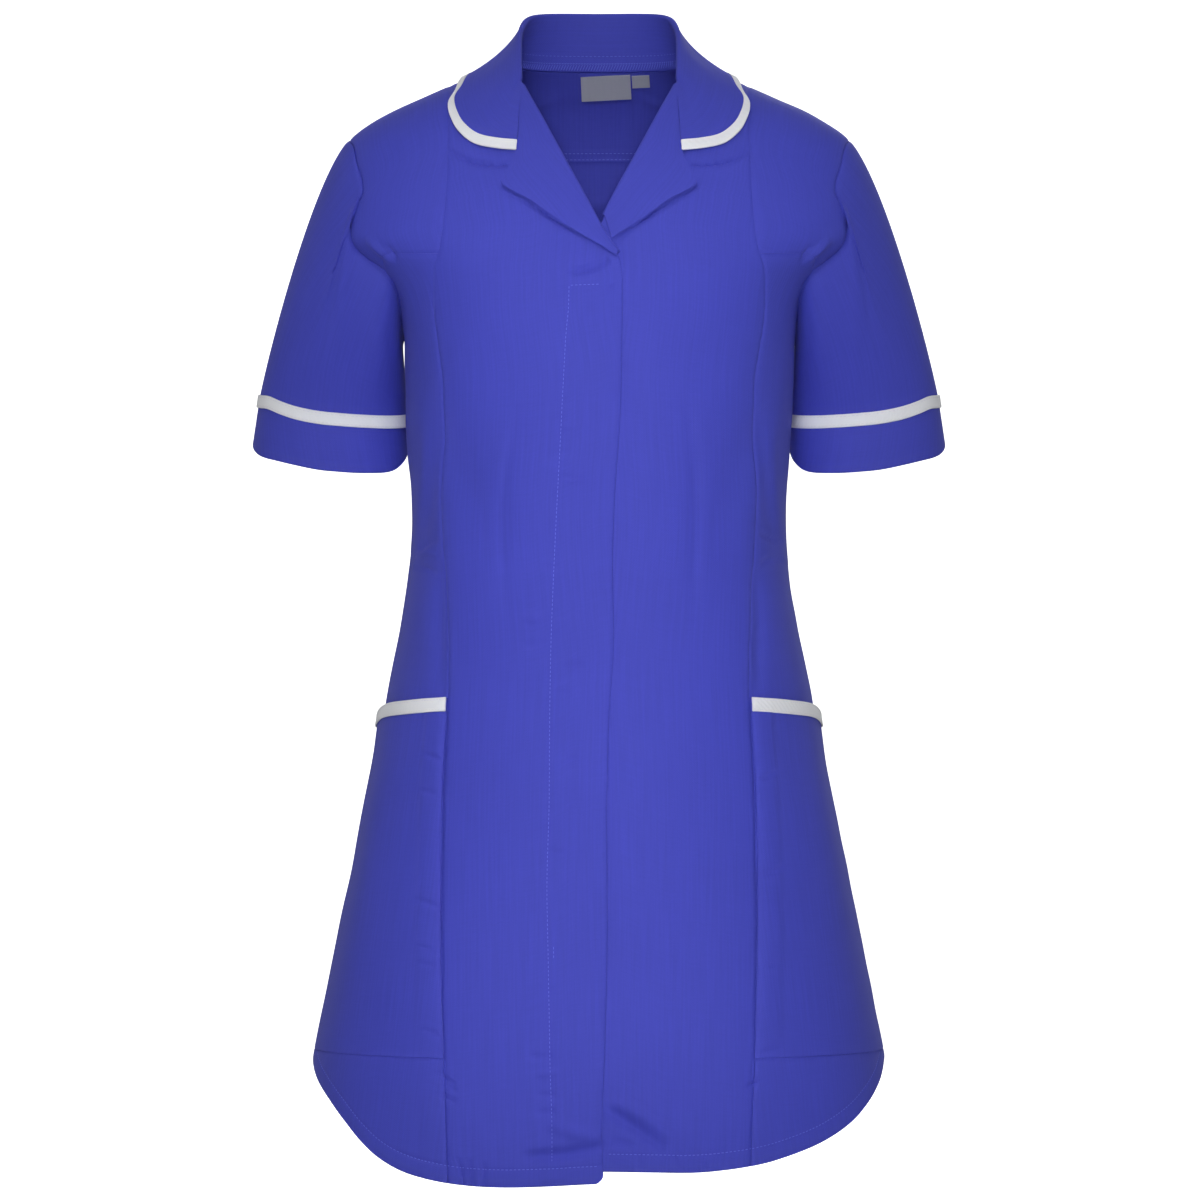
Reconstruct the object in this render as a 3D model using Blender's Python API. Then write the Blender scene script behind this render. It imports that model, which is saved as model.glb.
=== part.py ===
"""A maternity tunic, filled out with no wearer, in metres and +Z up.

The origin is the middle of the neck opening at shoulder level, where the wearer holds the
garment up. The front faces -Y and the wearer's left is +X.

Every body panel is a patch of one form, a stack of level sections from the neck to the hem. A
place on the form is a pair (angle, height): the angle runs from the centre front, 0, past the
side seam or the shoulder seam, 90, to the centre back, 180, on either side. The seams are curves
of such pairs, and two panels that share a seam share its points, so that their edges stay apart
by the same small gap all the way.
"""

import math

import bpy
import numpy as np

# ---- driving sizes ---------------------------------------------------------------------------
CLOTH = 0.0012  # thickness of every cloth wall
SEAM = 0.0003  # gap between two edges that are sewn together
REST_GAP = 0.0003  # gap under a piece that lies on a panel
ROUNDNESS = 2.3  # exponent of the level sections: 2 is an ellipse, more is squarer
SLEEVE_ROUNDNESS = 2.3

OVERLAP_DIP = 0.0022  # how far the left front sinks where the right front laps over it
OVERLAP_FADE = 0.022  # width over which it comes back up
OVERLAP_MARGIN = 0.006

FOLD_INSIDE = 0.0010  # hidden radius of a turned edge; the seen radius is this and the cloth
NECK_GAP = 0.0005  # gap between the collar stand and the neck edge below it
COLLAR_LIFT = 0.0032  # outer face of the collar's edge above the body
GORGE_STAND = 0.0004  # height of the collar's stand at the gorge, where it runs out
BINDING_WIDTH = 0.008
BINDING_THICKNESS = 0.0018

POCKET_TRIM_WIDTH = 0.0096
POCKET_STAND = 0.0024  # how far the pocket's mouth stands off at the side seam, above its seat
POCKET_STAND_INNER = 0.25  # share of that stand that is left at the princess seam
CUFF_TRIM_WIDTH = 0.0088
LABEL_THICKNESS = 0.0010

# ---- the form --------------------------------------------------------------------------------
# The level sections. Above the armholes the half width follows the shoulder line, and from there
# to the armpit it is the width the cloth would have if it ran on over the armhole.
SECTIONS = (
    # height, half_width, front_depth, back_depth
    (0.020, 0.048, 0.014, 0.047),
    (0.012, 0.058, 0.022, 0.052),
    (0.008, 0.068, 0.030, 0.057),
    (0.002, 0.084, 0.038, 0.061),
    (-0.004, 0.0995, 0.046, 0.065),
    (-0.009, 0.1113, 0.052, 0.068),
    (-0.017, 0.130, 0.061, 0.073),
    (-0.026, 0.151, 0.069, 0.078),
    (-0.035, 0.168, 0.076, 0.082),
    (-0.049, 0.187, 0.085, 0.087),
    (-0.065, 0.196, 0.092, 0.092),
    (-0.085, 0.200, 0.099, 0.096),
    (-0.110, 0.202, 0.108, 0.099),
    (-0.128, 0.199, 0.113, 0.100),
    (-0.142, 0.182, 0.117, 0.101),
    (-0.158, 0.162, 0.121, 0.101),
    (-0.175, 0.1515, 0.124, 0.100),
    (-0.195, 0.1470, 0.1265, 0.098),
    (-0.220, 0.1460, 0.129, 0.095),
    (-0.256, 0.1450, 0.131, 0.0915),
    (-0.285, 0.1433, 0.133, 0.0885),
    (-0.310, 0.1408, 0.134, 0.087),
    (-0.345, 0.1403, 0.1375, 0.088),
    (-0.380, 0.1433, 0.142, 0.091),
    (-0.410, 0.1480, 0.145, 0.095),
    (-0.440, 0.1540, 0.148, 0.099),
    (-0.470, 0.1600, 0.1505, 0.1035),
    (-0.510, 0.1655, 0.153, 0.109),
    (-0.560, 0.1750, 0.1565, 0.116),
    (-0.620, 0.1872, 0.160, 0.124),
    (-0.680, 0.2007, 0.1635, 0.131),
    (-0.735, 0.2130, 0.167, 0.137),
    (-0.790, 0.2235, 0.170, 0.142),
    (-0.850, 0.2345, 0.1735, 0.147),
)

# The largest soft folds, on both sides: middle angle and height, how far each end lies from the
# middle, the angle it drifts by over its height, its width, and its depth (inward is negative).
FOLDS = (
    # angle, height, half_run, drift, half_width, depth
    (42.0, -0.310, 0.085, 16.0, 9.0, -0.0028),
    (54.0, -0.300, 0.080, 14.0, 8.0, 0.0018),
    (66.0, -0.600, 0.180, 4.0, 9.0, 0.0016),
    (128.0, -0.340, 0.130, -10.0, 11.0, -0.0034),
    (150.0, -0.400, 0.150, -6.0, 11.0, 0.0026),
    (166.0, -0.360, 0.120, 5.0, 9.0, -0.0026),
    (118.0, -0.640, 0.190, -6.0, 12.0, -0.0040),
    (142.0, -0.690, 0.170, 6.0, 12.0, 0.0036),
    (168.0, -0.650, 0.200, 3.0, 10.0, -0.0030),
)

# ---- seams and edges, as seen from the front ---------------------------------------------------
# The neck edge, from the roll line over the shoulder seam at 90 to the centre back.
NECK = (
    # angle, height
    (25.0, -0.0130),
    (39.0, -0.0055),
    (53.0, 0.0005),
    (68.0, 0.0045),
    (90.0, 0.0080),
    (112.0, 0.0071),
    (140.0, 0.0060),
    (180.0, 0.0053),
)
SHOULDER_ROW = 4  # row of the neck table that lies on the shoulder seam
# The front's free edge: down the roll line to the break, then down the overlap. A negative x
# lies past the centre front, on the other side.
FRONT_EDGE = (
    # height, x
    (-0.0130, 0.0572),
    (-0.0370, 0.0442),
    (-0.0620, 0.0308),
    (-0.0850, 0.0183),
    (-0.1080, 0.0060),
    (-0.1310, -0.0070),
    (-0.1400, -0.0138),
    (-0.1500, -0.0161),
    (-0.1650, -0.0171),
    (-0.2000, -0.0166),
    (-0.2600, -0.0153),
    (-0.3200, -0.0112),
    (-0.3600, -0.0098),
    (-0.4380, -0.0100),
    (-0.4750, -0.0072),
    (-0.5300, -0.0057),
    (-0.6600, -0.0055),
    (-0.7300, -0.0036),
    (-0.7750, -0.0020),
    (-0.8250, -0.0030),
)
# The princess seam, from the shoulder seam to the hem.
PRINCESS_SEAM = (
    # height, x
    (-0.0090, 0.1113),
    (-0.0620, 0.1123),
    (-0.0900, 0.1134),
    (-0.1070, 0.1145),
    (-0.1240, 0.1162),
    (-0.1380, 0.1190),
    (-0.1465, 0.1219),
    (-0.1660, 0.1232),
    (-0.1850, 0.1226),
    (-0.2060, 0.1194),
    (-0.2290, 0.1160),
    (-0.2580, 0.1157),
    (-0.3410, 0.1162),
    (-0.4030, 0.1128),
    (-0.4310, 0.1112),
    (-0.4740, 0.1116),
    (-0.5280, 0.1140),
    (-0.6170, 0.1157),
    (-0.7030, 0.1143),
    (-0.8220, 0.1105),
)
# The armhole's edge: how far it lies in front of the shoulder line and behind it.
ARMHOLE = (
    # height, front, back
    (-0.0490, 0.000, 0.000),
    (-0.0550, 0.0310, 0.0270),
    (-0.0730, 0.0480, 0.0420),
    (-0.0860, 0.0552, 0.0490),
    (-0.0950, 0.0572, 0.0523),
    (-0.1020, 0.0541, 0.0541),
    (-0.1100, 0.0524, 0.0555),
    (-0.1230, 0.0535, 0.0560),
    (-0.1390, 0.0508, 0.0545),
    (-0.1500, 0.0540, 0.0520),
    (-0.1630, 0.0455, 0.0440),
    (-0.1780, 0.0285, 0.0290),
    (-0.1870, 0.0150, 0.0155),
    (-0.1920, 0.000, 0.000),
)
# Height of the hem: on the wearer's right, and on the left and at the back.
HEM = (
    # angle, right, other
    (-8.0, -0.8190, -0.8100),
    (0.0, -0.8192, -0.8102),
    (7.0, -0.8210, -0.8108),
    (15.5, -0.8220, -0.8112),
    (22.0, -0.8210, -0.8092),
    (29.0, -0.8178, -0.8055),
    (37.0, -0.8112, -0.7988),
    (43.0, -0.8028, -0.7930),
    (49.0, -0.7917, -0.7861),
    (56.0, -0.7776, -0.7770),
    (64.0, -0.7635, -0.7648),
    (73.0, -0.7507, -0.7507),
    (82.0, -0.7392, -0.7376),
    (90.0, -0.7330, -0.7330),
    (98.0, -0.7392, -0.7392),
    (110.0, -0.7620, -0.7620),
    (125.0, -0.7870, -0.7870),
    (145.0, -0.8050, -0.8050),
    (180.0, -0.8110, -0.8110),
)
# The level bust seam, between the princess seam and the armhole.
BUST_HEIGHT = -0.1383
BUST_SEAM = (
    # x, height
    (0.1300, -0.1380),
    (0.1430, -0.1385),
)
ARMHOLE_CORNER = -0.1500  # height at which the bust seam runs out at the armhole
ARMHOLE_TOP, ARMHOLE_FOOT = -0.049, -0.192
YOKE_HEIGHT = -0.0597  # seam below the back yoke
POCKET_MOUTH = (
    # share of the way to the side seam, height
    (0.0, -0.4660),
    (0.35, -0.4690),
    (0.7, -0.4730),
    (1.0, -0.4805),
)
POCKET_FOOT = -0.7290
POCKET_BULGE = 0.0012  # how far its middle stands off its seat
HEM_CORNER = -0.8150  # height at which the princess seam is read where it meets the hem

# ---- collar and lapels -------------------------------------------------------------------------
# Half of the collar, from the gorge to the centre back: where it stands on the neck edge, the
# top of its fold line, and its outer edge as a place on the form.
COLLAR = (
    # neck_angle, fold_x, fold_y, fold_z, edge_angle, edge_height
    (25.0, 0.0566, -0.0518, -0.0112, 15.0, -0.0622),
    (31.0, 0.0570, -0.0472, -0.0055, 20.0, -0.0605),
    (39.0, 0.0574, -0.0400, 0.0010, 25.3, -0.0568),
    (50.0, 0.0577, -0.0285, 0.0095, 30.3, -0.0485),
    (62.0, 0.0580, -0.0155, 0.0182, 36.2, -0.0378),
    (76.0, 0.0583, -0.0015, 0.0268, 43.5, -0.0275),
    (90.0, 0.0578, 0.0120, 0.0348, 54.5, -0.0155),
    (105.0, 0.0552, 0.0245, 0.0418, 72.0, -0.0072),
    (120.0, 0.0508, 0.0360, 0.0464, 95.0, -0.0042),
    (135.0, 0.0428, 0.0465, 0.0488, 117.0, -0.0070),
    (150.0, 0.0308, 0.0540, 0.0497, 139.0, -0.0112),
    (165.0, 0.0158, 0.0585, 0.0500, 160.0, -0.0152),
    (180.0, 0.0000, 0.0600, 0.0500, 180.0, -0.0166),
)
# The turned-back lapel: height on the roll line, and the point of its outer edge it reaches.
LAPEL = (
    # roll_height, edge_x, edge_height
    (-0.0130, 0.0604, -0.0622),
    (-0.0370, 0.0656, -0.0735),
    (-0.0490, 0.0723, -0.0874),
    (-0.0620, 0.0630, -0.0932),
    (-0.0740, 0.0520, -0.0990),
    (-0.0870, 0.0390, -0.1082),
    (-0.1000, 0.0265, -0.1168),
    (-0.1140, 0.0105, -0.1268),
    (-0.1280, -0.0043, -0.1352),
    (-0.1350, -0.0098, -0.1392),
    (-0.1390, -0.0126, -0.1404),
)
# The left lapel stops where the right front crosses it.
LEFT_LAPEL_END = (-0.1110, 0.0094, -0.1270)
LAPEL_LIFT = 2 * FOLD_INSIDE + CLOTH
LAPEL_SPANS = 5  # spans of the lapel from its roll line to its edge

# ---- sleeves -----------------------------------------------------------------------------------
SLEEVE_CENTRE = (0.1997, 0.0400)  # x, y of the ring at the cuff's top
SLEEVE_HALF = (0.0562, 0.0480)
HEM_CENTRE = (0.2022, 0.0400)
HEM_HALF = (0.0592, 0.0490)
# Heights round the sleeve: a turn of 0 is outside, 90 in front and 180 inside.
CUFF = (
    # turn, trim_top, hem
    (0.0, -0.2395, -0.2760),
    (20.0, -0.2405, -0.2830),
    (35.0, -0.2415, -0.2865),
    (50.0, -0.2455, -0.2890),
    (65.0, -0.2495, -0.2920),
    (90.0, -0.2540, -0.2970),
    (115.0, -0.2558, -0.2985),
    (145.0, -0.2558, -0.2955),
    (160.0, -0.2550, -0.2890),
    (180.0, -0.2530, -0.2770),
    (225.0, -0.2490, -0.2730),
    (270.0, -0.2440, -0.2720),
    (315.0, -0.2410, -0.2735),
    (360.0, -0.2395, -0.2760),
)
# Directions in which the sleeve leaves the armhole, the strength of that pull over the shoulder
# and at the foot, and the strength of the cuff's pull.
LEAVE_TOP = (0.66, 0.00, -0.75)
LEAVE_FRONT = (0.36, -0.20, -0.91)
LEAVE_FOOT = (0.02, 0.30, -0.95)
LEAVE_BACK = (0.36, 0.26, -0.90)
PULL_TOP, PULL_FOOT, PULL_CUFF = 0.130, 0.055, 0.060
SLEEVE_SPANS = 9  # spans from the armhole to the trim

# ---- labels: x from, x to, top height, bottom height -------------------------------------------
LABEL_LIFT = -0.0024
MAIN_LABEL = (-0.0136, 0.0243, 0.0040, -0.0134)
SIZE_LABEL = (0.0254, 0.0388, 0.0044, -0.0042)

# ---- colours: linear base colour and roughness --------------------------------------------------
BLUE = (0.055, 0.065, 0.420, 1.0)
WHITE = (0.760, 0.770, 0.800, 1.0)
GREY = (0.300, 0.290, 0.330, 1.0)
CLOTH_ROUGHNESS = 0.85

RIGHT, LEFT = -1.0, 1.0  # sign of x on the wearer's right and left


# ---- the form -----------------------------------------------------------------------------------
def smooth(table, column, at):
    """Reads a column of a table whose first column falls or rises, on a smooth curve."""
    rows = sorted(table)
    knots = np.array([row[0] for row in rows])
    values = np.array([row[column] for row in rows])
    slopes = np.gradient(values, knots)
    at = np.clip(at, knots[0], knots[-1])
    i = np.clip(np.searchsorted(knots, at, side="right") - 1, 0, len(knots) - 2)
    step = knots[i + 1] - knots[i]
    t = (at - knots[i]) / step
    return (
        values[i] * (1 + 2 * t) * (1 - t) ** 2
        + slopes[i] * step * t * (1 - t) ** 2
        + values[i + 1] * t * t * (3 - 2 * t)
        - slopes[i + 1] * step * t * t * (1 - t)
    )


def straight(table, column, at):
    """Reads a column of a table on straight lines between its rows."""
    rows = sorted(table)
    return np.interp(at, [row[0] for row in rows], [row[column] for row in rows])


def signed_power(value, power):
    return np.sign(value) * np.abs(value) ** power


def unit(vectors):
    return vectors / np.linalg.norm(vectors, axis=-1, keepdims=True)


def section_point(angle, height):
    """Point of the plain form: a superellipse at each height, deeper behind or before."""
    turn = np.radians(angle)
    across, along = np.sin(turn), np.cos(turn)
    half = smooth(SECTIONS, 1, height)
    depth = np.where(along >= 0, smooth(SECTIONS, 2, height), smooth(SECTIONS, 3, height))
    power = 2 / ROUNDNESS
    x = half * signed_power(across, power)
    y = -depth * signed_power(along, power)
    return np.stack([x, y, height + 0 * x], axis=-1)


def form_normal(angle, height, turn=0.5, rise=0.0008):
    """Outward normal of the plain form, from its slopes along the angle and the height."""
    angle, height = np.broadcast_arrays(angle, height)
    round_form = section_point(angle + turn, height) - section_point(angle - turn, height)
    up_form = section_point(angle, height + rise) - section_point(angle, height - rise)
    return unit(np.cross(round_form, up_form))


def fold_depth(angle, height):
    """Sum of the soft folds: each a smooth bump across its width that fades at both ends."""
    turned = np.abs((angle + 180) % 360 - 180)
    total = 0.0
    for middle, level, half_run, drift, half_width, depth in FOLDS:
        along = (height - level) / half_run
        off = (turned - middle - drift * along) / half_width
        total = total + depth * np.exp(-off * off) * np.clip(1 - along * along, 0, 1) ** 2
    return total


def on_form(angle, height, lift=0.0):
    """Point of the folded form, moved out by lift."""
    angle, height = np.broadcast_arrays(np.asarray(angle, float), np.asarray(height, float))
    away = (fold_depth(angle, height) + lift)[..., None]
    return section_point(angle, height) + away * form_normal(angle, height)


def front_angle(x, height):
    """Angle of the point at x on the front of the form."""
    share = np.clip(np.abs(x) / smooth(SECTIONS, 1, height), 0, 1)
    return np.sign(x) * np.degrees(np.arcsin(share ** (ROUNDNESS / 2)))


def depth_angle(y, height, behind):
    """Angle of the point at distance y before or behind the side line."""
    share = np.clip(y / smooth(SECTIONS, 3 if behind else 2, height), 0, 1)
    angle = np.degrees(np.arccos(share ** (ROUNDNESS / 2)))
    return 180 - angle if behind else angle


# ---- seams as functions of height ---------------------------------------------------------------
def princess(height):
    return front_angle(smooth(PRINCESS_SEAM, 1, height), height)


def front_edge(height):
    """Neck edge above the roll line, then the roll line and the overlap's edge."""
    front_neck = NECK[: SHOULDER_ROW + 1]
    neck = np.interp(height, [row[1] for row in front_neck], [row[0] for row in front_neck])
    free = front_angle(smooth(FRONT_EDGE, 1, height), height)
    return np.where(height > NECK[0][1], neck, free)


def neck_height(angle):
    return straight(NECK, 1, angle)


def armhole_front(height):
    return depth_angle(straight(ARMHOLE, 1, height), height, behind=False)


def armhole_back(height):
    return depth_angle(straight(ARMHOLE, 2, height), height, behind=True)


def hem_row(angles, right):
    return np.stack([angles, smooth(HEM, 1 if right else 2, angles)], axis=-1)


# ---- patches of the form ------------------------------------------------------------------------
def level_row(angles, heights):
    angles = np.asarray(angles, float)
    return np.stack([angles, np.broadcast_to(heights, angles.shape)], axis=-1)


def patch(stations, counts, first_edge, last_edge):
    """Rows of (angle, height) between stations, with both ends of each row kept on their edges."""
    rows = [stations[0]]
    for above, below, count in zip(stations, stations[1:], counts):
        for step in range(1, count + 1):
            share = step / count
            row = (1 - share) * above + share * below
            if step < count:
                across = np.linspace(0, 1, len(row))
                off_first = first_edge(row[0, 1]) - row[0, 0]
                off_last = last_edge(row[-1, 1]) - row[-1, 0]
                row[:, 0] += (1 - across) * off_first + across * off_last
            rows.append(row)
    return np.array(rows)


# Rows of the front, the front yoke and the side front between the stations of the princess
# seam, and rows of the side front and the back between the stations of the side seam.
YOKE_STATIONS, YOKE_ROWS = (-0.0090, -0.0400, -0.0800, BUST_HEIGHT), (4, 3, 4)
SIDE_STATIONS = (BUST_HEIGHT, -0.2350, -0.3000, -0.4000)
SIDE_ROWS = (4, 3, 4, 2, 1, 9, 3)
FRONT_COLUMNS, SHOULDER_COLUMNS, NECK_COLUMNS = 5, 3, 10
NECK_ENDS = (-0.0130, -0.0620, -0.1310)  # heights of the front's rows at its free edge
YOKE_ENDS = (-0.0700, -0.1000)  # heights of the front yoke's rows at the armhole
ARMPIT_ENDS = (-0.1580, -0.1670, -0.1770, -0.1860)  # points of the armhole below the bust seam
SIDE_COLUMNS = len(BUST_SEAM) + len(ARMPIT_ENDS) + 2  # one column between each two points
BACK_ARMHOLE_ROWS = 6


def front_chart(right):
    """The front panel: shoulder seam and neck at the top, free edge, princess seam, hem."""
    spread = np.linspace(0, 1, FRONT_COLUMNS + 1)

    def across(first_height, last_height):
        heights = first_height + (last_height - first_height) * spread
        first, last = front_edge(first_height), princess(last_height)
        return level_row(first + (last - first) * spread, heights)

    shoulder_top, shoulder_end = NECK[SHOULDER_ROW][1], YOKE_STATIONS[0]
    shoulder = level_row(90 + 0 * spread, shoulder_top + (shoulder_end - shoulder_top) * spread)
    mouth = POCKET_MOUTH[0][1]
    below = [(height, height) for height in SIDE_STATIONS[1:]]
    below += [(h, h) for h in (mouth, mouth - POCKET_TRIM_WIDTH, POCKET_FOOT)]
    stations = [shoulder]
    stations += [across(*ends) for ends in zip(NECK_ENDS, YOKE_STATIONS[1:])]
    stations += [across(*ends) for ends in below]
    stations.append(hem_row(across(HEM_CORNER, HEM_CORNER)[:, 0], right))
    return patch(stations, YOKE_ROWS + SIDE_ROWS, front_edge, princess)


def front_yoke_chart():
    """Shoulder seam at the top, princess seam, armhole, bust seam at the bottom."""
    spread = np.linspace(0, 1, SHOULDER_COLUMNS + 1)

    def across(first_height, last_height):
        heights = first_height + (last_height - first_height) * spread
        first, last = princess(first_height), armhole_front(last_height)
        return level_row(first + (last - first) * spread, heights)

    shoulder = level_row(90 + 0 * spread, YOKE_STATIONS[0] + (ARMHOLE_TOP - YOKE_STATIONS[0]) * spread)
    between = [across(*ends) for ends in zip(YOKE_STATIONS[1:], YOKE_ENDS)]
    stations = [shoulder, *between, bust_seam()]
    return patch(stations, YOKE_ROWS, princess, armhole_front)


def bust_seam():
    between = [(front_angle(x, height), height) for x, height in BUST_SEAM]
    first = (float(princess(BUST_HEIGHT)), BUST_HEIGHT)
    last = (float(armhole_front(ARMHOLE_CORNER)), ARMHOLE_CORNER)
    return np.array([first, *between, last])


def side_front_chart(right):
    """Bust seam and lower armhole at the top, princess seam, side seam at 90, hem."""
    spread = np.linspace(0, 1, SIDE_COLUMNS + 1)

    def across(heights):
        first = princess(heights[0])
        return level_row(first + (90 - first) * spread, heights)

    lower = [(float(armhole_front(height)), height) for height in ARMPIT_ENDS]
    top = np.array([*bust_seam(), *lower, (90.0, ARMHOLE_FOOT)])
    mouth = straight(POCKET_MOUTH, 1, spread)
    stations = [top]
    stations += [across(height + 0 * spread) for height in SIDE_STATIONS[1:]]
    stations += [across(mouth), across(mouth - POCKET_TRIM_WIDTH), across(POCKET_FOOT + 0 * spread)]
    stations.append(hem_row(across(HEM_CORNER + 0 * spread)[:, 0], right))
    return patch(stations, SIDE_ROWS, princess, lambda height: 90.0)


def back_yoke_chart():
    """From shoulder seam to shoulder seam round the neck, down to the level yoke seam."""
    ridge = np.linspace(ARMHOLE_TOP, NECK[SHOULDER_ROW][1], SHOULDER_COLUMNS + 1)[:-1]
    neck_angles = np.linspace(90, 270, NECK_COLUMNS + 1)
    neck = level_row(neck_angles, neck_height(180 - np.abs(neck_angles - 180)))
    first = level_row(90 + 0 * ridge, ridge)
    last = level_row(270 + 0 * ridge, ridge)[::-1]
    top = np.concatenate([first, neck, last])
    return patch([top, yoke_seam(len(top))], (4,), armhole_back, lambda h: 360 - armhole_back(h))


def yoke_seam(points):
    start = float(armhole_back(YOKE_HEIGHT))
    return level_row(np.linspace(start, 360 - start, points), YOKE_HEIGHT)


def back_chart():
    """The back panel: yoke seam, armholes and side seams, hem."""
    points = 2 * SHOULDER_COLUMNS + NECK_COLUMNS + 1

    def edge(height):
        return np.where(height > ARMHOLE_FOOT, armhole_back(height), 90.0)

    def across(height):
        return level_row(np.linspace(90, 270, points), height)

    side_mouth = POCKET_MOUTH[-1][1]
    levels = (ARMHOLE_FOOT, *SIDE_STATIONS[1:], side_mouth, side_mouth - POCKET_TRIM_WIDTH, POCKET_FOOT)
    stations = [yoke_seam(points)] + [across(height) for height in levels]
    angles = np.linspace(90, 270, points)
    stations.append(level_row(angles, smooth(HEM, 2, 180 - np.abs(angles - 180))))
    return patch(stations, (BACK_ARMHOLE_ROWS,) + SIDE_ROWS, edge, lambda height: 360 - edge(height))


# ---- meshes -------------------------------------------------------------------------------------
def material(name, colour):
    """A cloth: its colour, rough and not metallic."""
    made = bpy.data.materials.new(name)
    made.use_nodes = True
    shader = made.node_tree.nodes["Principled BSDF"]
    shader.inputs["Base Color"].default_value = colour
    shader.inputs["Roughness"].default_value = CLOTH_ROUGHNESS
    shader.inputs["Metallic"].default_value = 0.0
    return made


def drawn_in(seen, hidden, edges, gap=SEAM / 2):
    """Moves the named edges of both faces in by half the seam gap, along the cloth."""
    for edge in edges:
        axis, last = {"top": (0, 0), "bottom": (0, 1), "first": (1, 0), "last": (1, 1)}[edge]
        grids = [np.swapaxes(grid, 0, axis) for grid in (seen, hidden)]
        rim, inner = (-1, -2) if last else (0, 1)
        along = unit(np.gradient(grids[0][rim], axis=0))
        inward = grids[0][inner] - grids[0][rim]
        inward = unit(inward - (inward * along).sum(axis=-1, keepdims=True) * along)
        for grid in grids:
            grid[rim] += gap * inward
    return seen, hidden


def wall(name, seen, hidden, colour, side=LEFT, closed_ring=False):
    """A cloth wall between two grids of points, its rims closed: one body, faces out.

    It is a loft between unlike sections, with the hidden face worked out from the sections too,
    so that the gap at a seam is as even inside as outside. The columns join up into a tube if
    closed_ring is set, and x changes sign on the right.
    """
    rows, columns = seen.shape[:2]
    points = np.concatenate([seen.reshape(-1, 3), hidden.reshape(-1, 3)])
    points = points * (side, 1, 1)
    numbers = np.arange(rows * columns).reshape(rows, columns)
    if closed_ring:
        numbers = np.concatenate([numbers, numbers[:, :1]], axis=1)
    corners = [numbers[1:, :-1], numbers[1:, 1:], numbers[:-1, 1:], numbers[:-1, :-1]]
    outer = np.stack(corners, axis=-1).reshape(-1, 4)
    under = rows * columns
    faces = [outer, outer[:, ::-1] + under]
    rims = [numbers[0, ::-1], numbers[-1, :]]
    if not closed_ring:
        rims += [numbers[:, 0], numbers[::-1, -1]]
    for rim in rims:
        faces.append(np.stack([rim[:-1], rim[:-1] + under, rim[1:] + under, rim[1:]], axis=-1))
    faces = np.concatenate(faces)
    mesh = bpy.data.meshes.new(name)
    mesh.from_pydata(points.tolist(), [], faces.tolist())
    corner = points[faces[:, 0]]
    across = np.cross(points[faces[:, 1]] - corner, points[faces[:, 2]] - corner)
    back = np.cross(points[faces[:, 2]] - corner, points[faces[:, 3]] - corner)
    if (corner * (across + back)).sum() < 0:
        mesh.flip_normals()
    mesh.materials.append(material(name, colour))
    mesh.shade_smooth()
    made = bpy.data.objects.new(name, mesh)
    bpy.data.collections[COLLECTION].objects.link(made)
    return made


COLLECTION = "maternity_tunic"


def clear_scene():
    for old in list(bpy.data.objects):
        bpy.data.objects.remove(old)
    tunic = bpy.data.collections.new(COLLECTION)
    bpy.context.scene.collection.children.link(tunic)


def lifted(chart, lift, thickness=CLOTH):
    """Seen and hidden points of a patch, its seen face moved out by lift."""
    angle, height = chart[..., 0], chart[..., 1]
    return on_form(angle, height, lift), on_form(angle, height, lift - thickness)


# ---- the pieces ---------------------------------------------------------------------------------
def overlap_dip(chart):
    """How far the left front sinks: all the way under the right front, none past its edge."""
    angle, height = chart[..., 0], chart[..., 1]
    x = section_point(angle, height)[..., 0]
    right_edge = -smooth(FRONT_EDGE, 1, height)
    past = np.clip((x - right_edge - OVERLAP_MARGIN) / OVERLAP_FADE, 0, 1)
    return -OVERLAP_DIP * (1 - past * past * (3 - 2 * past))


def make_fronts():
    seen, hidden = drawn_in(*lifted(front_chart(right=True), 0.0), ("top", "last"))
    wall("front_right", seen, hidden, BLUE, RIGHT)
    chart = front_chart(right=False)
    seen, hidden = drawn_in(*lifted(chart, overlap_dip(chart)), ("top", "last"))
    wall("front_left", seen, hidden, BLUE, LEFT)


def make_side_panels(name, side):
    """Yoke and side front of one side, with the pocket and its trim on the side front."""
    right = side == RIGHT
    edges = ("top", "bottom", "first", "last")
    seen, hidden = drawn_in(*lifted(front_yoke_chart(), 0.0), edges)
    wall("front_yoke_" + name, seen, hidden, BLUE, side)
    chart = side_front_chart(right)
    seen, hidden = drawn_in(*lifted(chart, 0.0), ("top", "first", "last"))
    wall("side_front_" + name, seen, hidden, BLUE, side)

    mouth = sum(SIDE_ROWS[:4])
    foot = mouth + 1 + SIDE_ROWS[5]
    pocket = chart[mouth : foot + 1]
    down = np.linspace(0, 1, len(pocket))[:, None]
    out = np.linspace(0, 1, SIDE_COLUMNS + 1)[None, :]
    stand = POCKET_STAND * (1 - down) * (POCKET_STAND_INNER + (1 - POCKET_STAND_INNER) * out)
    lift = REST_GAP + CLOTH + stand + POCKET_BULGE * np.sin(math.pi * down)
    seen, hidden = drawn_in(*lifted(pocket, lift), ("first", "last"))
    wall("pocket_" + name, seen, hidden, BLUE, side)
    trim_lift = lift[:2] + REST_GAP + CLOTH
    seen, hidden = drawn_in(*lifted(pocket[:2], trim_lift), ("first", "last"))
    wall("pocket_trim_" + name, seen, hidden, WHITE, side)


def make_back():
    edges = ("top", "bottom", "first", "last")
    seen, hidden = drawn_in(*lifted(back_yoke_chart(), 0.0), edges)
    wall("back_yoke", seen, hidden, BLUE)
    seen, hidden = drawn_in(*lifted(back_chart(), 0.0), ("top", "first", "last"))
    wall("back", seen, hidden, BLUE)


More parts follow.
